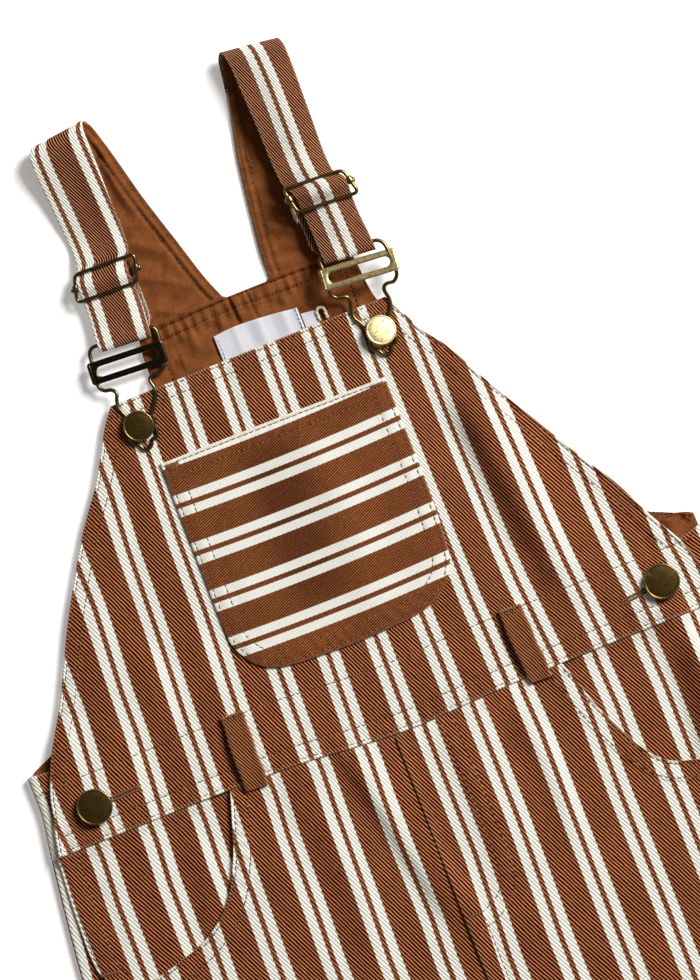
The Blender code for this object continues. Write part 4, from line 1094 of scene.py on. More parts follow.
LINING_ROWS = (  # rows of stitches with their size and seed: two under the lining's top edge,
    # two down its sides, one along its right inside edge
    (((-40.5, 213.2), (-30, 213.6), (0, 215), (15, 215), (30, 214.6), (62, 213.6)), 0.4, 11),
    (((-41.5, 208.2), (-30, 208.5), (2, 210), (20, 209.2), (40, 208.8), (62.5, 208.6)), 0.4, 12),
    (((-34.2, 209), (-34, 186)), 0.45, 13), (((58, 209), (57.4, 186)), 0.45, 14),
    (((146, 52.2), (156, 47.4), (165, 42.6)), 0.45, 15),
)
LINING_FOLDS = (  # start across and height, end across and height, half width, height
    (3, 216.5, 3.8, 202, 0.7, -0.55), (11.8, 216.5, 12.6, 202, 0.6, -0.45),
    (4.6, 216, 5.6, 202.5, 0.9, 0.3), (13.2, 216, 14, 203, 0.8, 0.3),
    (-34.2, 208, -33.6, 189, 0.5, -0.25), (-28.4, 208, -27.8, 189, 0.5, -0.22),
    (58, 208, 57.4, 189, 0.5, -0.25), (64.2, 208, 63.6, 189, 0.5, -0.22), (-20, 206, -14, 188, 3, 0.35),
    (-8, 207, -10, 190, 2.6, -0.35), (36, 208, 40, 190, 3.2, -0.4), (44, 208, 49, 188, 3, 0.35),
    (24, 215, 26, 203, 2, 0.25), (48, 215.5, 50, 209.5, 1.6, -0.25), (150, 54, 147, 36, 2.8, -0.5),
    (155.5, 52, 153, 34, 2.6, 0.6), (160.5, 50, 158.5, 33, 2.6, -0.5),
)


def strap_zone(x):
    """One where a strap is sewn on under the lining's top edge, and nothing beside it."""
    left = smooth(-43, -40.5, x) * smooth(2.6, 1, x)
    return left + smooth(22.6, 24.2, x) * smooth(65, 62.5, x)


def lining_lift(x, y):
    """How far the lining's top edge rises over the seam of each strap."""
    return 1.1 * strap_zone(x) * smooth(214.2, 216.4, y)


def lining_relief(x, y):
    """Relief of the back's lining: its sewn top edge, centre pleats and soft wrinkles."""
    relief = 0.16 * ripple(x, y, 5, 21) + 0.3 * ripple(x, y, 16, 22)
    edge = BACK_TOP - y
    clear = 1 - smooth(-13, -9, x) * smooth(46, 42, x) * smooth(204, 201, y)
    for line, _, _ in LINING_ROWS[:2]:
        relief += groove(y - read(line, x, 1), 0, 1, 0.7)
    relief += 0.7 * (1 - smooth(6.9, 8.4, edge))
    relief += 0.5 * puckers(x, y * 0.2, 1.25, 2.5, 13, 23) * bell(edge - 5.5, 5.5)
    relief += 0.9 * ripple(x * 1.2, y * 0.8, 4.6, 24) * smooth(8, 10.5, edge) * clear
    relief += 2.4 * creases(x, y, LINING_FOLDS, 0, (-0.12, 0.08), (1.12, 0.85))
    return np.clip(relief, -0.9, mix(0.45, 1.6, clear))


# Front legs

def leg_relief(side, x, y):
    """Relief of a front leg: pocket hem, fly, centre seam, side seam and leg hem."""
    distance, along = distance_to(soft_path(SCOOP[side], 3), x, y, 12)
    pucker, sunk = (0.2, 0.36) if side == "left" else (0.07, 0.16)
    relief = hem(distance, along, 8.6, (1.5, 8), 31, pucker, 0.5, sunk)
    relief += 0.4 * bell(distance, 1.2)
    seam = y - read(WAIST_SEAM, x, 1)
    relief += 0.22 * puckers(x, y * 0.1, 0.9, 2.5, 14, 33) * bell(seam + 4, 4)
    middle = np.abs(x - centre_front(y))
    above = smooth(CROTCH, CROTCH + 12, y)
    if side == "right":
        relief += above * 0.25 * bell(middle, 2.6)
        for row, seed in zip(FLY_ROWS, (41, 43)):
            distance, along = distance_to(soft_path(row, 3), x, y, 6)
            relief += groove(distance, 0, 0.36, 0.8)
            relief += 0.16 * puckers(along, 0 * along, 1.05, 2.5, 13, seed) * bell(distance, 3)
        relief += smooth(-92, -94, y) * above * groove(middle, 8.8, 0.3, 0.7)
    relief += hem(y + LEG_LENGTH, x, 20, (18.5,), 51, 0.12, 0.45)
    outer = np.abs(read(SIDE_FOLD, y, 1 if side == "left" else 2) - x)
    return relief + smooth(-60, -75, y) * hem(outer, y, 6.5, (5.5,), 53, 0.1, 0.25)


def centre_front(y):
    """Where the centre front seam runs."""
    return mix(0, -1.7, smooth(0, -120, y)) * smooth(CROTCH, -170, y)


def make_front_legs():
    """Front legs with the scoop pocket edge, the centre seam and the mock fly."""
    start, low = -80, -LEG_LENGTH
    for side, sign, column in SIDES:
        # A row of points along the scoop and the waist, then rows down from it to the hem
        seam = sign * GAP / 2
        edge = soft_path(SCOOP[side], 1)
        waist_x = np.array(spaced(edge[-1][0], seam, 1.2) + [seam])[1:]
        line = np.vstack([edge, joined(waist_x, read(WAIST_SEAM, waist_x, 1) - GAP / 2)])
        run = travel(line)
        top_x, top_y = (np.interp(edged(run[-1], 1.18), run, values) for values in line.T)
        outer_start = read(SIDE_FOLD, start, column)
        share = (top_x - outer_start) / (seam - outer_start)
        share[0] = 0
        share = np.maximum.accumulate(share)
        y_low = levels(low, (low + 3, low + 24, 1.8), (low + 24, -140, 3.6), (-140, start, 1.25))
        # The right leg laps over the left one where they are sewn together
        lap = -0.5 if side == "right" else -0.1
        inner = np.where(y_low < CROTCH, read(INSEAM, y_low, column), centre_front(y_low) + seam + lap)
        x_low = mix(read(SIDE_FOLD, y_low, column)[:, None], inner[:, None], share)
        part = edged(84, 1.18)[5:, None] / 84
        part = (part - part[0]) / (1 - part[0])
        x_start = mix(outer_start, centre_front(start) + seam + lap, share)
        bow = centre_front(start) * share
        x_high = mix(x_start - bow, top_x + lap * share, part) + bow * (1 - part)
        x = np.vstack([x_low, x_high])[:, ::-sign]
        y = np.vstack([y_low[:, None] + 0 * x_low, mix(start, top_y, part)])[:, ::-sign]
        form = Form()
        shell(form, joined(x, y, leg_height(x, y) + seam_lift(side, x, y)),
            leg_places("front_" + side, x, y), leg_relief(side, x, y))
        thing = form.make("twill_front_" + side, "striped", "front_" + side)
        top = lambda px, py: (leg_height(px, py) + seam_lift(side, px, py) + FLAT
            + leg_relief(side, px, py))
        threads = Form()
        # Stitches on the right lie flatter and get less painted shade at their ends
        lift, dark = (0.1, 1) if side == "left" else (0.03, 0.3)
        for shift, seed in ((1.5, 61), (8, 62)):
            row = offset(soft_path(SCOOP[side], 1.5), sign * shift)
            below = row[:, 1] < read(WAIST_SEAM, row[:, 0], 1) - 1
            inside = np.abs(row[:, 0]) < np.abs(read(SIDE_FOLD, row[:, 1], column)) - 2
            stitch_row(threads, row[below & inside], top, lift=lift, seed=seed, dark=dark)
        if side == "right":
            for row, seed in zip(FLY_ROWS, (63, 64)):
                stitch_row(threads, soft_path(row, 1.5), top, seed=seed)
            y_row = np.linspace(-93, CROTCH + 8, 60)
            stitch_row(threads, joined(centre_front(y_row) + 8.8, y_row), top, seed=65)
            bar_tack(threads, (1, -90.4), (7, -90.4), top, 1.3)
        hem_x = np.linspace(read(SIDE_FOLD, -566, column) - sign * 3,
            read(INSEAM, -566, column) + sign * 3, 60)
        stitch_row(threads, joined(hem_x, low + 18.5), top, 1.1, seed=66)
        y_row = np.linspace(start, -562, 160)
        stitch_row(threads, joined(read(SIDE_FOLD, y_row, column) - sign * 5.5, y_row), top, 1.1,
            seed=67)
        threads.make("stitching_front_" + side, "thread")


def make_pocket_bearers():
    """The cloth seen inside each scoop pocket, with its turned edge at the side opening."""
    for side, sign, _ in SIDES:
        table = BEARER[side]
        relief_at = lambda px, py: hem(np.abs(px - read(table, py, 1)), py, 9.6, (1.4, 10), 75, 0.12,
            0.35)
        y = levels(-100, (-97, -72, 2), (-72, 2.6, 1.25), tail=(2.6, 3.6, 4.1, 4.44, 4.6))
        x = between(read(table, y, 1), read(table, y, 2), sign, edged(105, 1.15) / 105)
        rise = smooth(-60, 4.6, y)[:, None] * (read(WAIST_SEAM, x, 1) - GAP / 2 - 4.6)
        y = y[:, None] + rise
        form = Form()
        shell(form, joined(x, y, bearer_height(x, y)), leg_places("bearer_" + side, x, y),
            relief_at(x, y))
        thing = form.make("twill_pocket_bearer_" + side, "striped", "pocket_bearer_" + side)
        top = lambda px, py: bearer_height(px, py) + FLAT + relief_at(px, py)
        threads = Form()
        y_row = np.linspace(3, -58, 50)
        for shift, seed in ((1.4, 71), (10, 72)):
            stitch_row(threads, joined(read(table, y_row, 1) - sign * shift, y_row), top, seed=seed)
        edge = float(read(table, -53.6, 1))
        bar_tack(threads, (edge + sign * 0.4, -52.8), (edge - sign * 8.6, -54.2), top, 1.6, seed=73)
        threads.make("stitching_pocket_bearer_" + side, "thread")


def bearer_height(x, y):
    """Middle of the pocket bearer, which rises to the waist seam that it is sewn into."""
    sewn = bell(y - read(WAIST_SEAM, x, 1), 3.5) * smooth(86, 95, np.abs(x))
    return leg_height(x, y) - BEARER_DROP + 1.2 * sewn


# Bib

def bib_level(x, y):
    """Height on the bib as if the waist seam were level at zero."""
    seam = read(WAIST_SEAM, x, 1)
    return (y - seam) / (BIB_TOP - seam) * BIB_TOP


BAND_ROWS = (1.6, 8.4, 31.6)  # rows of stitches on the waistband, above the waist seam


def bib_side_gap(x, y):
    """Distance to the nearer side edge of the bib, square to the edge."""
    slope = (read_side(BIB_SIDES, y + 2, x) - read_side(BIB_SIDES, y - 2, x)) / 4
    return np.abs(read_side(BIB_SIDES, y, x) - x) / np.sqrt(1 + slope ** 2)


def bib_relief(x, y):
    """Relief of the bib: side and top hems and the waistband's rows."""
    gap, level = bib_side_gap(x, y), bib_level(x, y)
    upper = smooth(30, 40, y)
    rough = np.where(np.asarray(x) > 0, 0.12, 0.15)
    sides = (hem(gap, y, 7.2, (6.8,), 81, rough, 0.45) * upper + groove(gap, 1.5, 0.3, 0.55)
        + 0.4 * (1 - upper) * (1 - smooth(2, 4, gap)) + 0.35 * bell(gap - 0.6, 0.7))
    relief = np.where(gap < 16, sides, 0)
    relief += hem(BIB_TOP - y, x, 7, (1.4, 6.4), 83, 0.2, 0.45)
    for row, depth in zip(BAND_ROWS, (0.4, 0.34, 0.34)):
        relief += groove(level, row, depth, 0.65)
    relief += 0.24 * puckers(x, y * 0.2, 0.85, 2.6, 15, 85) * bell(level - 4, 5)
    relief += 0.18 * puckers(x, y * 0.2, 0.7, 2.6, 17, 86) * bell(level - 32.5, 6)
    return relief + 0.34 * (1 - smooth(31, 33.5, level))


def bib_top(x, y):
    """Upper face of the bib."""
    return bib_height(x, y) + seam_lift("bib", x, y) + FLAT + bib_relief(x, y)


def make_bib():
    """Front waistband and bib in one, with turned hems and their stitching."""
    up = levels(0, (2.6, 7.4, 1), (7.4, 9.4, 0.5), (9.4, 30.4, 1.35), (30.4, 33.6, 0.55),
        (33.6, 179, 1.35), (179, BIB_TOP - 2, 0.7), tail=before(BIB_TOP))[:, None] / BIB_TOP
    part = edged(330, 1.5, RIM_STEPS + (2.8, 4, 5.4, 6.2, 6.8, 7.4, 8.4, 10)) / 330
    y = mix(2.5, BIB_TOP, up) + 0 * part
    for _ in range(2):
        x = mix(read(BIB_SIDES, y, 1), read(BIB_SIDES, y, 2), part)
        y = mix(read(WAIST_SEAM, x, 1) - GAP, BIB_TOP, up)
    form = Form()
    shell(form, joined(x, y, bib_height(x, y) + seam_lift("bib", x, y)), leg_places("bib", x, y),
        bib_relief(x, y))
    thing = form.make("twill_bib", "striped", "bib_front")
    threads = Form()
    x_row = np.linspace(-161, 162, 300)
    seam = read(WAIST_SEAM, x_row, 1)
    for level, seed in zip(BAND_ROWS, (91, 92, 93)):
        y_row = seam + level * (BIB_TOP - seam) / BIB_TOP
        inside = bib_side_gap(x_row, y_row) > 1.5
        stitch_row(threads, joined(x_row, y_row)[inside], bib_top, 0.95, seed=seed)
    for row, seed in zip((1.4, 6.4), (94, 95)):
        ends = [float(read(BIB_SIDES, BIB_TOP - row, column)) - 2 * sign for _, sign, column in SIDES]
        stitch_row(threads, joined(np.linspace(*ends, 120), BIB_TOP - row), bib_top, seed=seed)
    for side, sign, column in SIDES:
        # Stitches on the right lie flatter and get less painted shade at their ends
        lift, dark = (0.1, 1) if side == "left" else (0.03, 0.4)
        for gap, low, seed in ((1.5, 4, 96), (6.8, 36, 97)):
            y_row = np.linspace(low, BIB_TOP - 1, 150)
            row = offset(joined(read(BIB_SIDES, y_row, column), y_row), gap * sign)
            stitch_row(threads, row[row[:, 1] < BIB_TOP - 1.5], bib_top, lift=lift, seed=seed + column,
                dark=dark)
    for side, _, _ in SIDES:
        buttonhole(threads, side)
    threads.make("stitching_bib", "thread")


def buttonhole(form, side):
    """A keyhole buttonhole: close stitches both sides of the slit and round its far end."""
    start, end = np.array(BUTTONHOLE[side])
    size, run = np.linalg.norm(end - start), unit(end - start)
    across = np.array([-run[1], run[0]])
    rays = [(start + run * place, across * sign) for sign in (-1, 1)
        for place in np.arange(7, size, 0.42)]
    rays += [(end, run * math.cos(angle) + across * math.sin(angle))
        for angle in np.radians(np.linspace(-90, 90, 9))]
    root, ray = np.array(rays)[:, :1], np.array(rays)[:, 1:]
    x, y = np.moveaxis(root + ray * np.array([0.25, 0.525, 1.075, 1.35])[:, None], -1, 0)
    height = bib_top(x, y) + [-0.1, 0.2, 0.16, -0.3]
    # Painted shade where each stitch goes into the cloth
    sweep(form, joined(x, y, height), 0.24, 5, wear=[0.9, 0, 0.1, 0.9])


def pocket_outline(inset=0):
    """Outline of the patch pocket from its top left corner round to its top right one."""
    sides = POCKET_OUTLINE
    path = np.vstack([soft_path(sides["left"], 1.5)[:-1], soft_path(sides["bottom"], 1.5),
        soft_path(sides["right"], 1.5)[::-1][1:]])
    return offset(path, inset)


def pocket_relief(x, y):
    """Relief of the patch pocket: turned edges and the top hem."""
    distance, along = distance_to(pocket_outline(), x, y, 14)
    relief = hem(distance, along, 8.4, (2, 8), 101, 0.2, 0.35)
    relief = relief - 0.35 * (1 - smooth(0.4, 1.6, distance))
    edge = read(POCKET_OUTLINE["top"], x, 1) - y
    relief += hem(edge, x, 8.2, (1.7, 8), 103, 0.14, 0.3)
    return relief + 0.08 * ripple(x, y, 13, 105)


def pocket_top(x, y):
    """Upper face of the patch pocket."""
    return bib_height(x, y) + LAYER + FLAT + pocket_relief(x, y)


def make_bib_pocket():
    """The patch pocket, its stripes turned sideways, with two rows of stitches round it."""
    part = edged(110, 1.1, RIM_STEPS + (2.6, 4, 6, 7.2, 8, 8.8)) / 110

    def along(name, share):
        path = soft_path(POCKET_OUTLINE[name], 0.5)
        return joined(*(np.interp(share, np.linspace(0, 1, len(path)), values) for values in path.T))

    bottom, top = along("bottom", part)[None], along("top", part)[None]
    left, right = along("left", 1 - part)[:, None], along("right", 1 - part)[:, None]
    u, v = part[None, :, None], part[:, None, None]
    corners = mix(mix(bottom[0, 0], bottom[0, -1], u), mix(top[0, 0], top[0, -1], u), v)
    plane = mix(bottom, top, v) + mix(left, right, u) - corners
    x, y = plane[..., 0], plane[..., 1]
    lowest, spacing, rise = POCKET_PAIR
    stripes = (lowest - y + rise * (x / 52) ** 2) / spacing * measure("repeat")
    # The middle of the pocket is darker than its sides
    darkening = -0.4 * smooth(-30, -12, x) * smooth(16, -2, x) * smooth(158, 138, y)
    form = Form()
    shell(form, joined(x, y, bib_height(x, y) + LAYER), joined(stripes, x), pocket_relief(x, y),
        tone_shift=darkening * smooth(54, 82, y))
    thing = form.make("twill_bib_pocket", "pocket", "bib_pocket")
    threads = Form()
    for inset, seed in ((2, 111), (8, 112)):
        row = pocket_outline(inset)
        stitch_row(threads, row[row[:, 1] < 154.4], pocket_top, 0.95, seed=seed)
    x_row = np.linspace(-53, 55.5, 100)
    row = joined(x_row, read(POCKET_OUTLINE["top"], x_row, 1))
    stitch_row(threads, row - (0, 1.7), pocket_top, 1.15, 0.6, seed=113)
    stitch_row(threads, row[8:-8] - (0, 8), pocket_top, seed=114)
    bar_tack(threads, (-52.4, 153.3), (-46.2, 153.2), pocket_top, seed=115)
    bar_tack(threads, (48.6, 152.6), (54.8, 152.4), pocket_top, seed=116)
    threads.make("stitching_bib_pocket", "thread")


# Straps

def strap_path(side):
    """Stations of the striped ply: height along, height above, edges and lean, base to tail."""
    sizes, back, front, lift = STRAP_SIZES[side], BACK_STRAP[side], FRONT_STRAP[side], LIFT[side]
    low, rise, perk, tail = (sizes[name] for name in ("low", "rise", "perk", "tail"))
    fold_lean, slider_lean, bar_lean = (sizes[name + "_lean"] for name in ("fold", "slider", "bar"))
    slider, bar, fold = sizes["slider"], sizes["bar"], sizes["fold"] - FLAT - FOLD_RADIUS
    radius, top = sizes["radius"] - low / 2, FLAT + 0.6 + 2 * sizes["radius"]
    stations = []

    def station(y, z, lean, fold_share=1, shift=0):
        left, right = (mix(read(back, y, edge), read(front, y, edge), fold_share) for edge in (1, 2))
        stations.append((y, z, left + shift, right + shift, lean))

    for y in (BACK_TOP + 0.15, 228, 245, 262, 274):
        station(y, FLAT, 0, 0)
    station(fold - 18, FLAT + 0.25 * low, fold_lean * 0.3, 0)
    station(fold - 8, FLAT + 0.2 + 0.8 * low, fold_lean * 0.7, 0.05)
    for angle in range(-66, 91, 26):
        a = math.radians(angle)
        station(fold + FOLD_RADIUS * math.cos(a), top - radius * (1 - math.sin(a)), fold_lean,
            smooth(-80, 90, angle))
    falling = ((fold - 9, -0.3), (290, 0.8 * rise - 1.6), (276, rise - 3.6), (264, rise - 5.2))
    winding = ((9, 5.2), (7.2, 4.95), (5.4, 5.05), (3.8, 6), (2, 7.25), (0, 7.7), (-2, 7.25), (-3.8, 6),
        (-5.4, 5), (-7.2, 4.9), (-16, 4.75))
    for y, z in ([(y, top + z - lift) for y, z in falling] + [(257, 5.3)]
            + [(slider + y, z) for y, z in winding] + [(bar + 5, 5.2), (bar + 2, 6.1)]):
        lean = mix(slider_lean, bar_lean, smooth(slider - 8, bar + 6, y))
        bulge = sizes["belly"] * bell(y - 229, 6) + perk * bell(y - slider, 9)
        station(y, z + lift + bulge, mix(lean, fold_lean, smooth(slider + 12, fold - 9, y)))
    for angle in range(90, 271, 30):
        a = math.radians(angle)
        station(bar + BAR_TURN[0] * math.cos(a), WIRE_Z_TOP + lift + BAR_TURN[1] * math.sin(a),
            bar_lean)
    for y in (bar + 5, 228, slider - 7):
        station(y, TAIL_Z + 0.8 * lift + perk * bell(y - slider, 9),
            mix(bar_lean, slider_lean, smooth(220, 236, y)), 1, tail)
    for angle in range(-90, 91, 30):
        a = math.radians(angle)
        station(slider + SLIDER_TURN * math.cos(a), SLIDER_BAR_Z + lift + perk
            + SLIDER_TURN * math.sin(a), slider_lean, 1, tail * 0.3)
    return np.array(stations)


def ribbon(stations, shift, insets, step=1.15, across_step=0.95, fine=RIM_STEPS[:-1]):
    """Grid of a strap: stations moved off along their own normal, rounded by fine steps."""
    run, climb = np.gradient(stations[:, 0]), np.gradient(stations[:, 1])
    size = np.hypot(run, climb)
    moved = stations.copy()
    moved[:, 0] -= climb / size * shift
    moved[:, 1] += run / size * shift
    place = travel(moved[:, :2])
    keys = edged(place[-1], step)
    table = np.column_stack([place, moved])
    y, z, left, right, lean = (read(table, keys, column) for column in range(1, 6))
    left, right = left + insets[0], right - insets[1]
    share = edged(25, across_step, fine) / 25
    x = mix(left[:, None], right[:, None], share[None])
    off = x - (left + right)[:, None] / 2
    grid = np.dstack([x, y[:, None] + lean[:, None] * off, np.broadcast_to(z[:, None], x.shape)])
    return grid, keys, share


def roll_strap(side, grid, share, beneath=0):
    """Bow a ply of a strap's front run, and roll it down on its left above the slider."""
    y, z, sizes = grid[..., 1], grid[..., 2], STRAP_SIZES[side]
    place, width, height = sizes["ridge"]
    ridge = height * bell(share - place, width)
    ridge = ridge * smooth(sizes["fold"], 300, y) * smooth(215, 222, y)
    roll = sizes["roll"] * smooth(252, 262, y) * smooth(sizes["fold"] - 1, sizes["fold"] - 22, y)
    grid[..., 2] += smooth(3.4, 4.4, z + beneath) * (ridge - roll * (1 - share))


def make_straps():
    """Shoulder straps: the striped ply over the fold, slider and buckle, and the lining ply."""
    for side, _, _ in SIDES:
        sizes = STRAP_SIZES[side]
        stations = strap_path(side)
        grid, keys, share = ribbon(stations, 0, (0, 0))
        roll_strap(side, grid, share)
        x, y = grid[..., 0], grid[..., 1]
        # The loop in the slider drops at its edges
        loop = bell(y - sizes["slider"], 4.5) * (grid[..., 2] > 6.2 + LIFT[side] + sizes["perk"])
        grid[..., 2] -= 0.9 * loop * (2 * share - 1) ** 4
        edge_gap = np.minimum(x - x[:, :1], x[:, -1:] - x)
        run = keys[:, None] + 0 * x
        relief = 0.16 * puckers(run, 0 * x, 0.9, 2, 14, 121) * bell(edge_gap, 4)
        relief += 0.16 * ripple(x, run, 9, 122)
        near, over, far = sizes["pair"]
        pair = mix(mix(over, far, smooth(256, 312, y[:, :1])), near,
            smooth(sizes["slider"] + 6, sizes["slider"] - 8, y[:, :1]))
        # The run beneath shows only its edge, which is a cream stripe
        beneath = np.arange(len(keys))[:, None] < np.argmax(grid[:, 0, 2] > 2.5)
        pair = x[:, :1] + np.where(beneath, -2.6, pair)
        flat = joined((x - pair) * sizes["scale"] + measure("repeat"), -run)
        form = Form()
        # The outer face looks down on the back run and up on the front run
        shell(form, grid[:, ::-1], flat[:, ::-1], relief[:, ::-1], stride=3)
        thing = form.make("twill_strap_" + side, "strap", "strap_" + side)
        over = np.argmax(stations[:, 1] > FOLD_RADIUS)
        end = over + np.argmax(stations[over:, 0] < sizes["slider"] + 10)
        seams = RIM_STEPS[:-1] + tuple(spaced(1.9, 6.4, 0.42))
        grid, keys, share = ribbon(stations[:end], LAYER, sizes["cover"], fine=seams)
        relief = strap_lining_relief(side, *np.moveaxis(grid, -1, 0))
        roll_strap(side, grid, share, LAYER)
        form = Form()
        shell(form, grid, joined(grid[..., 0], keys[:, None]), relief, stride=3, rubbed=0.2)
        lining = form.make("fine_twill_strap_" + side, "lining", "strap_lining_" + side)
        threads = Form()
        y_row = np.linspace(BACK_TOP + 1, sizes["fold"] - 12, 90)
        top = lambda px, py: FLAT + LAYER + FLAT + strap_lining_relief(side, px, py, 1.8)
        for _, sign, column in SIDES:
            for gap, seed in ((1.8, 131), (5.6, 132)):
                row = joined(read(BACK_STRAP[side], y_row, column) - sign * gap, y_row)
                stitch_row(threads, row, top, 0.8, lift=0.2, seed=seed + column)
        threads.make("stitching_strap_" + side, "thread")


STRAP_WRINKLES = {  # start across and height, end across and height, half width, height
    "left": ((-36, 240, -10, 226, 2.2, 0.7), (-34, 230, -14, 220, 2, -0.45),
        (-32, 256, -14, 244, 2.2, 0.6), (-24, 262, -30, 300, 2.4, -0.45),
        (-30, 248, -18, 240, 1.8, -0.4), (-20, 262, -26, 306, 2.2, 0.6), (-32, 222, -20, 217, 1.6, 0.5),
        (-16, 252, -24, 232, 1.8, -0.3)),
    "right": ((30, 240, 46, 230, 2.2, 0.6), (28, 226, 52, 220, 1.8, -0.35),
        (36, 258, 40, 296, 2.6, -0.45), (32, 252, 44, 244, 2, 0.5)),
}


def strap_lining_relief(side, x, y, z):
    """Relief of the strap's lining: sewn edges and soft wrinkles on the run that lies flat."""
    low = smooth(4.5, 2.5, z)
    relief = 0.1 * ripple(x, y, 8, 141)
    for column in (1, 2):
        gap = np.abs(x - read(BACK_STRAP[side], y, column))
        wave = puckers(y, 0 * y, 1.2, 2.4, 12, 142 + column)
        relief += low * (groove(gap, 1.8, 0.6, 0.6) + groove(gap, 5.6, 0.9, 0.8)
            + 0.55 * bell(gap - 3.6, 1.2) + 0.32 * wave * bell(gap - 4, 3.5))
    wrinkles = creases(x, y, STRAP_WRINKLES[side], 0.05, (-0.1, 0.3), (1.1, 0.7))
    relief += low * (2.4 * wrinkles + 0.35 * ripple(x, y, 5, 146))
    return np.clip(relief, -1, 2)


def make_belt_loops():
    """Belt loops of plain brown twill, stitched across near their top, lying down at both ends and
    bowed between.
    """
    size, wide = 36, 11.2
    for side, _, _ in SIDES:
        top_left, top_right, bottom_right, bottom_left = np.array(BELT_LOOPS[side])
        u = edged(wide, 0.7, RIM_STEPS[:-1])[None, :, None] / wide
        v = edged(size, 0.9)[:, None, None] / size
        plane = mix(mix(bottom_left, bottom_right, u), mix(top_left, top_right, u), v)
        u, v, y = u[..., 0], v[..., 0], plane[..., 1]
        x = plane[..., 0] + 0.4 * ripple(y, 9 * u, 8, 154)
        bow = 2.2 * np.sin(math.pi * np.clip(v, 0, 1)) ** 0.6
        z = bib_height(x, np.maximum(y, 3)) + LAYER + 0.1 + bow
        edge = np.minimum(u, 1 - u) * wide
        relief = 0.4 * bell(edge - 1.5, 1.1) + 0.15 * ripple(x, y, 6, 151)
        threads = Form()
        for row, seed in ((33.6, 152), (35, 153)):
            relief += groove(v * size, row, 0.25, 0.45)
            start = mix(bottom_left, top_left, row / size)
            end = mix(bottom_right, top_right, row / size)
            level = float(bib_height(*start)) + LAYER + 1.75
            path = start + np.linspace(-0.02, 1.1, 14)[:, None] * (end - start)
            stitch_row(threads, path, lambda px, py: level + 0 * px, 1, 0.4, lift=0.12, seed=seed)
        form = Form()
        shell(form, joined(x, y, z), plane, relief, 1.5, stride=3)
        thing = form.make("twill_belt_loop_" + side, "loop", "belt_loop_" + side)
        threads.make("stitching_belt_loop_" + side, "thread")


# Labels

def make_labels():
    """The neck label and the size tab, both bare, and the small hanging cord."""
    lift = LINING + LAYER - 0.2
    threads = Form()
    y_row = np.linspace(183, 200, 20)
    for place, level in ((-8, lift + 0.22), (30.2, lift + 0.82)):
        stitch_row(threads, joined(place, y_row), lambda px, py: level + 0 * px, 0.6, 0.8, lift=0.06,
            seed=163)
    for name, left, right, top_line, seed in (("label_main", -9.6, 31, LABEL_OUTLINE, 161),
            ("label_size", 31.5, 38.3, ((31.3, 196), (34, 195.8), (38.3, 195.2)), 162)):
        wide = right - left
        up = edged(20, 0.55, RIM_STEPS[:-1])[:, None] / 20
        x = left + edged(wide, 0.55, RIM_STEPS[:-1]) / wide * wide + 0 * up
        y = mix(181, read(top_line, x, 1), up)
        waves = sum(height * bell(x - place, half) for place, half, height in LABEL_WAVES)
        z = lift + 1.4 * waves * smooth(183, 194, y) + 0.25 * ripple(x, y, 7, seed)
        form = Form()
        shell(form, joined(x, y, z), joined(x, y), 0, 0.45, stride=3)
        thing = form.make("satin_" + name, "satin", name)
        sewn = [threads.make("stitching_label", "satin")] if name == "label_main" else []
    middle, half = 40.6, 1.9
    points = [(middle + half * math.cos(a), 193.9 + 1.6 * math.sin(a))
        for a in np.radians(range(180, -1, -20))]
    legs = [(middle - half, y) for y in (189.7, 191.7)], [(middle + half, y) for y in (191.7, 189.7)]
    points = legs[0] + points + legs[1]
    path = soft_path(joined(*np.transpose(points), LINING + FLAT + GAP + 0.85), 0.35)
    side = np.cross(unit(np.gradient(path, axis=0)), (0, 0, 1))
    # The two plies make one turn in 4.5 mm
    turns = np.arange(len(path))[:, None] * 0.35 * TURN / 4.5
    form = Form()
    for ply in (0, math.pi):
        sweep(form, path + 0.3 * (np.cos(turns + ply) * side + np.sin(turns + ply) * (0, 0, 1)), 0.52)
    form.make("cotton_cord_loop", "cord", "label_loop")


# Brass fittings

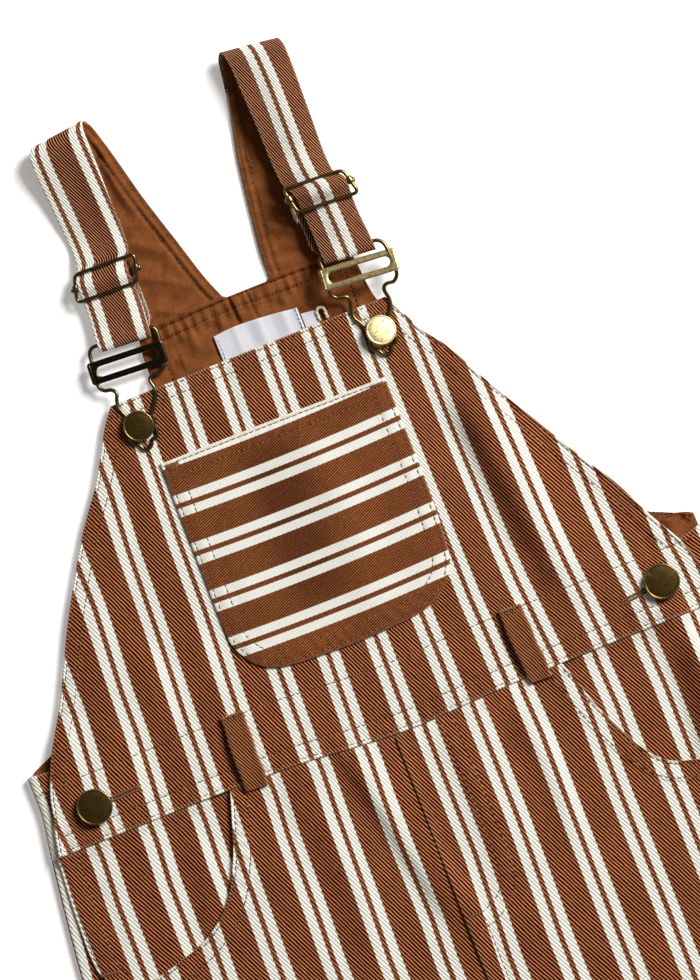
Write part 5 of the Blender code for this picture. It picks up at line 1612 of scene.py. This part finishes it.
def make_sliders():
    """Wire sliders: a frame over the strap and a bar whose ends curl round the frame."""
    for side, _, _ in SIDES:
        raised = LIFT[side] + STRAP_SIZES[side]["perk"]
        frame_z, bar_z = SLIDER_FRAME_Z + raised, SLIDER_BAR_Z + raised
        corners = np.array(SLIDER[side]["frame"])
        points = []
        for here, last, following in zip(corners, np.roll(corners, 1, 0), np.roll(corners, -1, 0)):
            back, ahead = 2.6 * unit(last - here), 2.6 * unit(following - here)
            points += [mix(mix(here + back, here, part), mix(here, here + ahead, part), part)
                for part in np.linspace(0, 1, 7)]
            points += [mix(here + ahead, following - ahead, part)
                for part in np.linspace(0.15, 0.85, 8)]
        form = Form()
        sweep(form, joined(*np.transpose(points), frame_z), SLIDER_WIRE, 14, closed=True)
        form.make("brass_slider_frame_" + side, WIRE_LOOK[side], "slider_frame_" + side)
        left_y, right_y = (point[1] for point in SLIDER[side]["bar"])
        ends = []
        form = Form()
        for out, top_corner, low_corner in ((-1, 0, 3), (1, 1, 2)):
            high, low = (np.array((*corners[k], frame_z)) for k in (top_corner, low_corner))
            height = (left_y + right_y) / 2 + out * (right_y - left_y) / 2
            centre = mix(low, high, (height - low[1]) / (high[1] - low[1]))
            turned(form, centre, high - low, SLEEVE, 20, closed=True)
            outward = np.array((out, -0.35, -0.15))
            turned(form, centre + outward * 1.3, outward, KNOB, 20)
            ends.append(centre)
        start, end = ends
        reach = np.linalg.norm(end - start)
        stops = np.array([0.5, 1.2, 1.9, 2.6] + spaced(3.4, reach / 2, 3))
        stops = np.concatenate([stops, reach - stops[::-1]])
        path = start + (end - start) * (stops / reach)[:, None]
        path[:, 2] = mix(frame_z - 1.25, bar_z, smooth(0.9, 2.6, np.minimum(stops, reach - stops)))
        sweep(form, path, SLIDER_WIRE, 14)
        form.make("brass_slider_bar_" + side, WIRE_LOOK[side], "slider_bar_" + side)


def make_buckles():
    """Strap buckles: a key-hole wire and a stamped, slotted plate curled round it."""
    for side, _, _ in SIDES:
        x, y = soft_path(BUCKLE_WIRE[side], 0.7, closed=True).T
        z = mix(mix(WIRE_Z_FOOT, 5, smooth(190, 200, y)), WIRE_Z_TOP, smooth(208, 214, y))
        form = Form()
        sweep(form, joined(x, y, z + LIFT[side] * smooth(186, 204, y)), WIRE, 14, closed=True)
        form.make("brass_buckle_wire_" + side, WIRE_LOOK[side], "buckle_wire_" + side)
        form = Form()
        plate(form, side)
        # The left plate's near-black brass is painted shade, and the right plate's heavier rubbing
        # partly painted highlight
        form.make("brass_buckle_plate_" + side, "shaded plate brass" if side == "left" else "brass",
            "buckle_plate_" + side)


def plate(form, side):
    """The slotted plate, with rolled long edges and both ends curled round the wire."""
    (half_x, half_y), (slot_x, slot_y) = np.array(PLATE_SIZE) / 2, np.array(PLATE_SLOT) / 2
    (middle_x, middle_y), turn, lean, tip = PLATE[side]
    cosine, sine = math.cos(math.radians(turn)), math.sin(math.radians(turn))

    def placed(points):
        x, y, z = np.moveaxis(np.array(points), -1, 0)
        return joined(middle_x + x * cosine - y * sine, middle_y + x * sine + y * cosine,
            z + lean * y + tip * x + PLATE_Z + LIFT[side])

    rings, corner = [], 1.3
    for share, height in PLATE_SECTION:
        ring = []
        for sign_x, sign_y, first in ((1, 1, 0), (-1, 1, 90), (-1, -1, 180), (1, -1, 270)):
            for angle in np.radians(range(first, first + 91, 10)):
                ray = np.array((math.cos(angle), math.sin(angle)))
                outer = np.array((sign_x * (half_x - corner), sign_y * (half_y - corner)))
                inner = np.array((sign_x * (slot_x - slot_y), 0))
                ring.append((*mix(inner + slot_y * ray, outer + corner * ray, share), height))
        rings.append(ring)
    index = np.arange(len(rings) * len(ring)).reshape(len(rings), -1)
    form.add(placed(rings), [band(index, np.roll(index, -1, 0))])
    for end in (-1, 1):
        # The tab that curls down and under the wire
        half_turn = np.radians(np.linspace(90, 90 - end * 250, 16))
        angles, radii = np.append(half_turn, half_turn[::-1]), np.repeat([1.55, 1.05], 16)
        size = mix(1.3, radii, np.array([0.85, 1, 1, 0.85])[:, None])
        level = np.array([0.9 - half_y, 1.1 - half_y, half_y - 1.1, half_y - 0.9])[:, None]
        index = np.arange(size.size).reshape(size.shape)
        faces = [band(index[:-1], index[1:])[:, TURNED_OVER], index[:1, ::-1], index[-1:]]
        points = joined(end * (half_x - 1.35) + size * np.cos(angles), level,
            size * np.sin(angles) - 0.95)
        form.add(placed(points), [face[:, ::end] for face in faces])


def make_buttons():
    """Jeans-type buttons: a post, a rolled rim and a low cap."""
    rim, cap = 1.9, 3.6
    for kind, places, radius in (("bib", BIB_BUTTONS, 7.2), ("side", SIDE_BUTTONS, 8.4)):
        for side, _, _ in SIDES:
            x, y = places[side]
            profile = [(1.2, 0), (2.3, 0.1), (2.3, rim - 0.1), (radius - 1.2, rim - 0.1)]
            profile += [(radius - inset, rim + rise) for inset, rise in BUTTON_RIM]
            profile += [(radius * share, cap + 0.35 * (1 - share ** 2))
                for share in (0.7, 0.5, 0.3, 0.12)]
            leans = np.tan(np.radians(BUTTON_TILT[kind + "_" + side]))
            form = Form()
            turned(form, (x, y, float(bib_height(x, y)) + FLAT + GAP), (*leans, 1), profile, 64)
            # The right bib button's pale rubbed brass is a painted reflection
            look = "glinting brass" if (kind, side) == ("bib", "right") else "dark brass"
            form.make(f"brass_{kind}_button_{side}", look, f"{kind}_button_{side}")


def make_fuzz():
    """Short loose fibres along the straps' edges and at their frayed ends."""
    random = np.random.default_rng(171)
    for side, _, _ in SIDES:
        paths = []
        for _, sign, column in SIDES:
            for y in random.normal(0, 4, 60) + random.choice((222, 240, 268, 299), 60):
                edge = float(read(FRONT_STRAP[side], y, column))
                z = float(mix(4.9, 11, smooth(252, 300, y))) + random.uniform(-0.3, 0.3)
                out, up = random.uniform(0.2, 0.8), random.uniform(-0.9, 0.9)
                paths.append([(edge - sign * 0.4, y, z), (edge + sign * out * 0.5, y + up * 0.4, z),
                    (edge + sign * out, y + up, z - 0.1)])
        edge, out_of, low, spread = FRAYED[side]
        for y in random.normal(low, spread, 70):
            z = random.uniform(2.9, 4.4) + LIFT[side] + 0.6 * STRAP_SIZES[side]["perk"]
            out, up, curl = random.uniform(0.6, 2.2), random.normal(0, 1.5), random.normal(0, 0.8)
            paths.append([(edge, y, z), (edge + out_of * out, y + up * 0.4 + curl, z + 0.3),
                (edge + out_of * out * 0.7, y + up, z)])
        form = Form()
        sweep(form, np.array(paths), np.array([0.07, 0.06, 0.03]), 3)
        form.make("loose_fibres_" + side, "cord")


def make_stage():
    """A pale floor, a softbox from the upper right, a dim room and the camera."""
    scene = bpy.context.scene
    # Lit a little from below, as on a light table, so that shadows on it stay pale
    board, _, _ = material("painted board, matt", base_color=tint("floor"), roughness=0.9,
        specular_ior_level=0.1, emission_color=tint("floor"), emission_strength=0.27)
    size, below = 3, -0.0002
    mesh = bpy.data.meshes.new("floor")
    mesh.from_pydata([(-size, -size, below), (size, -size, below), (size, size, below),
        (-size, size, below)], [], [(0, 1, 2, 3)])
    mesh.materials.append(board)
    place_object("floor", mesh)
    scene.world = bpy.data.worlds.new("room")
    scene.world.use_nodes = True
    room = scene.world.node_tree.nodes["Background"]
    room.inputs["Color"].default_value = (1, 0.95, 0.9, 1)
    room.inputs["Strength"].default_value = 0.13
    middle = Vector((0.0226, 0.1123, 0))
    lamp = bpy.data.lights.new("softbox", "AREA")
    lamp.shape, lamp.size, lamp.energy = "SQUARE", 1.2, 142
    light = place_object("softbox", lamp)
    light.location = middle + Vector((2.1, 1, 2.15))
    light.rotation_euler = (middle - light.location).to_track_quat("-Z", "Y").to_euler()
    lens = bpy.data.cameras.new("camera")
    height, long_side = 3, 0.4508
    lens.sensor_width = 36
    lens.lens = 36 * height / long_side
    camera = place_object("camera", lens)
    camera.location = middle + Vector((0, 0, height + 0.005))
    camera.rotation_euler = (0, 0, math.radians(-21.8))
    bpy.context.scene.camera = camera
    scene.view_settings.view_transform = "Standard"


# Operators and panel

class OVERALLS_OT_back_legs(Operator):
    """Back legs, with the underlap of the side opening turned forward"""
    bl_idname = "overalls.back_legs"
    bl_label = "Back Legs"

    def execute(self, context):
        make_back_legs()
        return {"FINISHED"}


class OVERALLS_OT_back_bib(Operator):
    """Back waistband and bib in one, and its brown lining"""
    bl_idname = "overalls.back_bib"
    bl_label = "Back Bib and Lining"

    def execute(self, context):
        make_back_bib()
        return {"FINISHED"}


class OVERALLS_OT_pocket_bearers(Operator):
    """The cloth seen inside each scoop pocket"""
    bl_idname = "overalls.pocket_bearers"
    bl_label = "Pocket Bearers"

    def execute(self, context):
        make_pocket_bearers()
        return {"FINISHED"}


class OVERALLS_OT_front_legs(Operator):
    """Front legs with pocket edge, centre seam and mock fly"""
    bl_idname = "overalls.front_legs"
    bl_label = "Front Legs"

    def execute(self, context):
        make_front_legs()
        return {"FINISHED"}


class OVERALLS_OT_bib(Operator):
    """Front waistband and bib in one, with its buttonholes"""
    bl_idname = "overalls.bib"
    bl_label = "Front Bib"

    def execute(self, context):
        make_bib()
        return {"FINISHED"}


class OVERALLS_OT_bib_pocket(Operator):
    """Patch pocket with its stripes turned sideways"""
    bl_idname = "overalls.bib_pocket"
    bl_label = "Bib Pocket"

    def execute(self, context):
        make_bib_pocket()
        return {"FINISHED"}


class OVERALLS_OT_straps(Operator):
    """Shoulder straps: the striped ply and the lining ply"""
    bl_idname = "overalls.straps"
    bl_label = "Straps"

    def execute(self, context):
        make_straps()
        return {"FINISHED"}


class OVERALLS_OT_belt_loops(Operator):
    """Belt loops of plain brown twill"""
    bl_idname = "overalls.belt_loops"
    bl_label = "Belt Loops"

    def execute(self, context):
        make_belt_loops()
        return {"FINISHED"}


class OVERALLS_OT_labels(Operator):
    """Neck label and size tab, both bare, and the hanging cord"""
    bl_idname = "overalls.labels"
    bl_label = "Labels"

    def execute(self, context):
        make_labels()
        return {"FINISHED"}


class OVERALLS_OT_sliders(Operator):
    """Wire sliders: frames and bars"""
    bl_idname = "overalls.sliders"
    bl_label = "Sliders"

    def execute(self, context):
        make_sliders()
        return {"FINISHED"}


class OVERALLS_OT_buckles(Operator):
    """Strap buckles: key-hole wires and slotted plates"""
    bl_idname = "overalls.buckles"
    bl_label = "Buckles"

    def execute(self, context):
        make_buckles()
        return {"FINISHED"}


class OVERALLS_OT_buttons(Operator):
    """Jeans-type metal buttons of the bib and the sides"""
    bl_idname = "overalls.buttons"
    bl_label = "Buttons"

    def execute(self, context):
        make_buttons()
        return {"FINISHED"}


class OVERALLS_OT_loose_fibres(Operator):
    """Short loose fibres along the straps' edges"""
    bl_idname = "overalls.loose_fibres"
    bl_label = "Loose Fibres"

    def execute(self, context):
        make_fuzz()
        return {"FINISHED"}


class OVERALLS_OT_stage(Operator):
    """Pale floor, soft studio light, dim room and camera"""
    bl_idname = "overalls.stage"
    bl_label = "Stage"

    def execute(self, context):
        make_stage()
        return {"FINISHED"}


OPERATORS = (
    OVERALLS_OT_back_legs, OVERALLS_OT_back_bib, OVERALLS_OT_pocket_bearers, OVERALLS_OT_front_legs,
    OVERALLS_OT_bib, OVERALLS_OT_bib_pocket, OVERALLS_OT_straps, OVERALLS_OT_belt_loops,
    OVERALLS_OT_labels, OVERALLS_OT_sliders, OVERALLS_OT_buckles, OVERALLS_OT_buttons,
    OVERALLS_OT_loose_fibres, OVERALLS_OT_stage,
)


class OVERALLS_PT_pieces(Panel):
    """Buttons that build the pieces, with the garment's sizes and colours"""
    bl_idname = "OVERALLS_PT_pieces"
    bl_label = "Striped Bib Overalls"
    bl_space_type = "VIEW_3D"
    bl_region_type = "UI"
    bl_category = "Overalls"

    def draw(self, context):
        column = self.layout.column()
        for operator in OPERATORS:
            column.operator(operator.bl_idname)
        for group in (context.scene.overalls_sizes, context.scene.overalls_colours):
            for name in type(group).__annotations__:
                column.prop(group, name)


CLASSES = (OverallsSizes, OverallsColours) + OPERATORS + (OVERALLS_PT_pieces,)


def register():
    """Register the classes and hang both property groups on the scene."""
    for made in CLASSES:
        bpy.utils.register_class(made)
    bpy.types.Scene.overalls_sizes = PointerProperty(type=OverallsSizes)
    bpy.types.Scene.overalls_colours = PointerProperty(type=OverallsColours)


def unregister():
    """Take the property groups and the classes away again."""
    del bpy.types.Scene.overalls_colours
    del bpy.types.Scene.overalls_sizes
    for made in reversed(CLASSES):
        bpy.utils.unregister_class(made)


def main():
    """Build every piece in order."""
    register()
    bpy.ops.overalls.back_legs()
    bpy.ops.overalls.back_bib()
    bpy.ops.overalls.pocket_bearers()
    bpy.ops.overalls.front_legs()
    bpy.ops.overalls.bib()
    bpy.ops.overalls.bib_pocket()
    bpy.ops.overalls.straps()
    bpy.ops.overalls.belt_loops()
    bpy.ops.overalls.labels()
    bpy.ops.overalls.sliders()
    bpy.ops.overalls.buckles()
    bpy.ops.overalls.buttons()
    bpy.ops.overalls.loose_fibres()
    bpy.ops.overalls.stage()


if __name__ == "__main__":
    main()
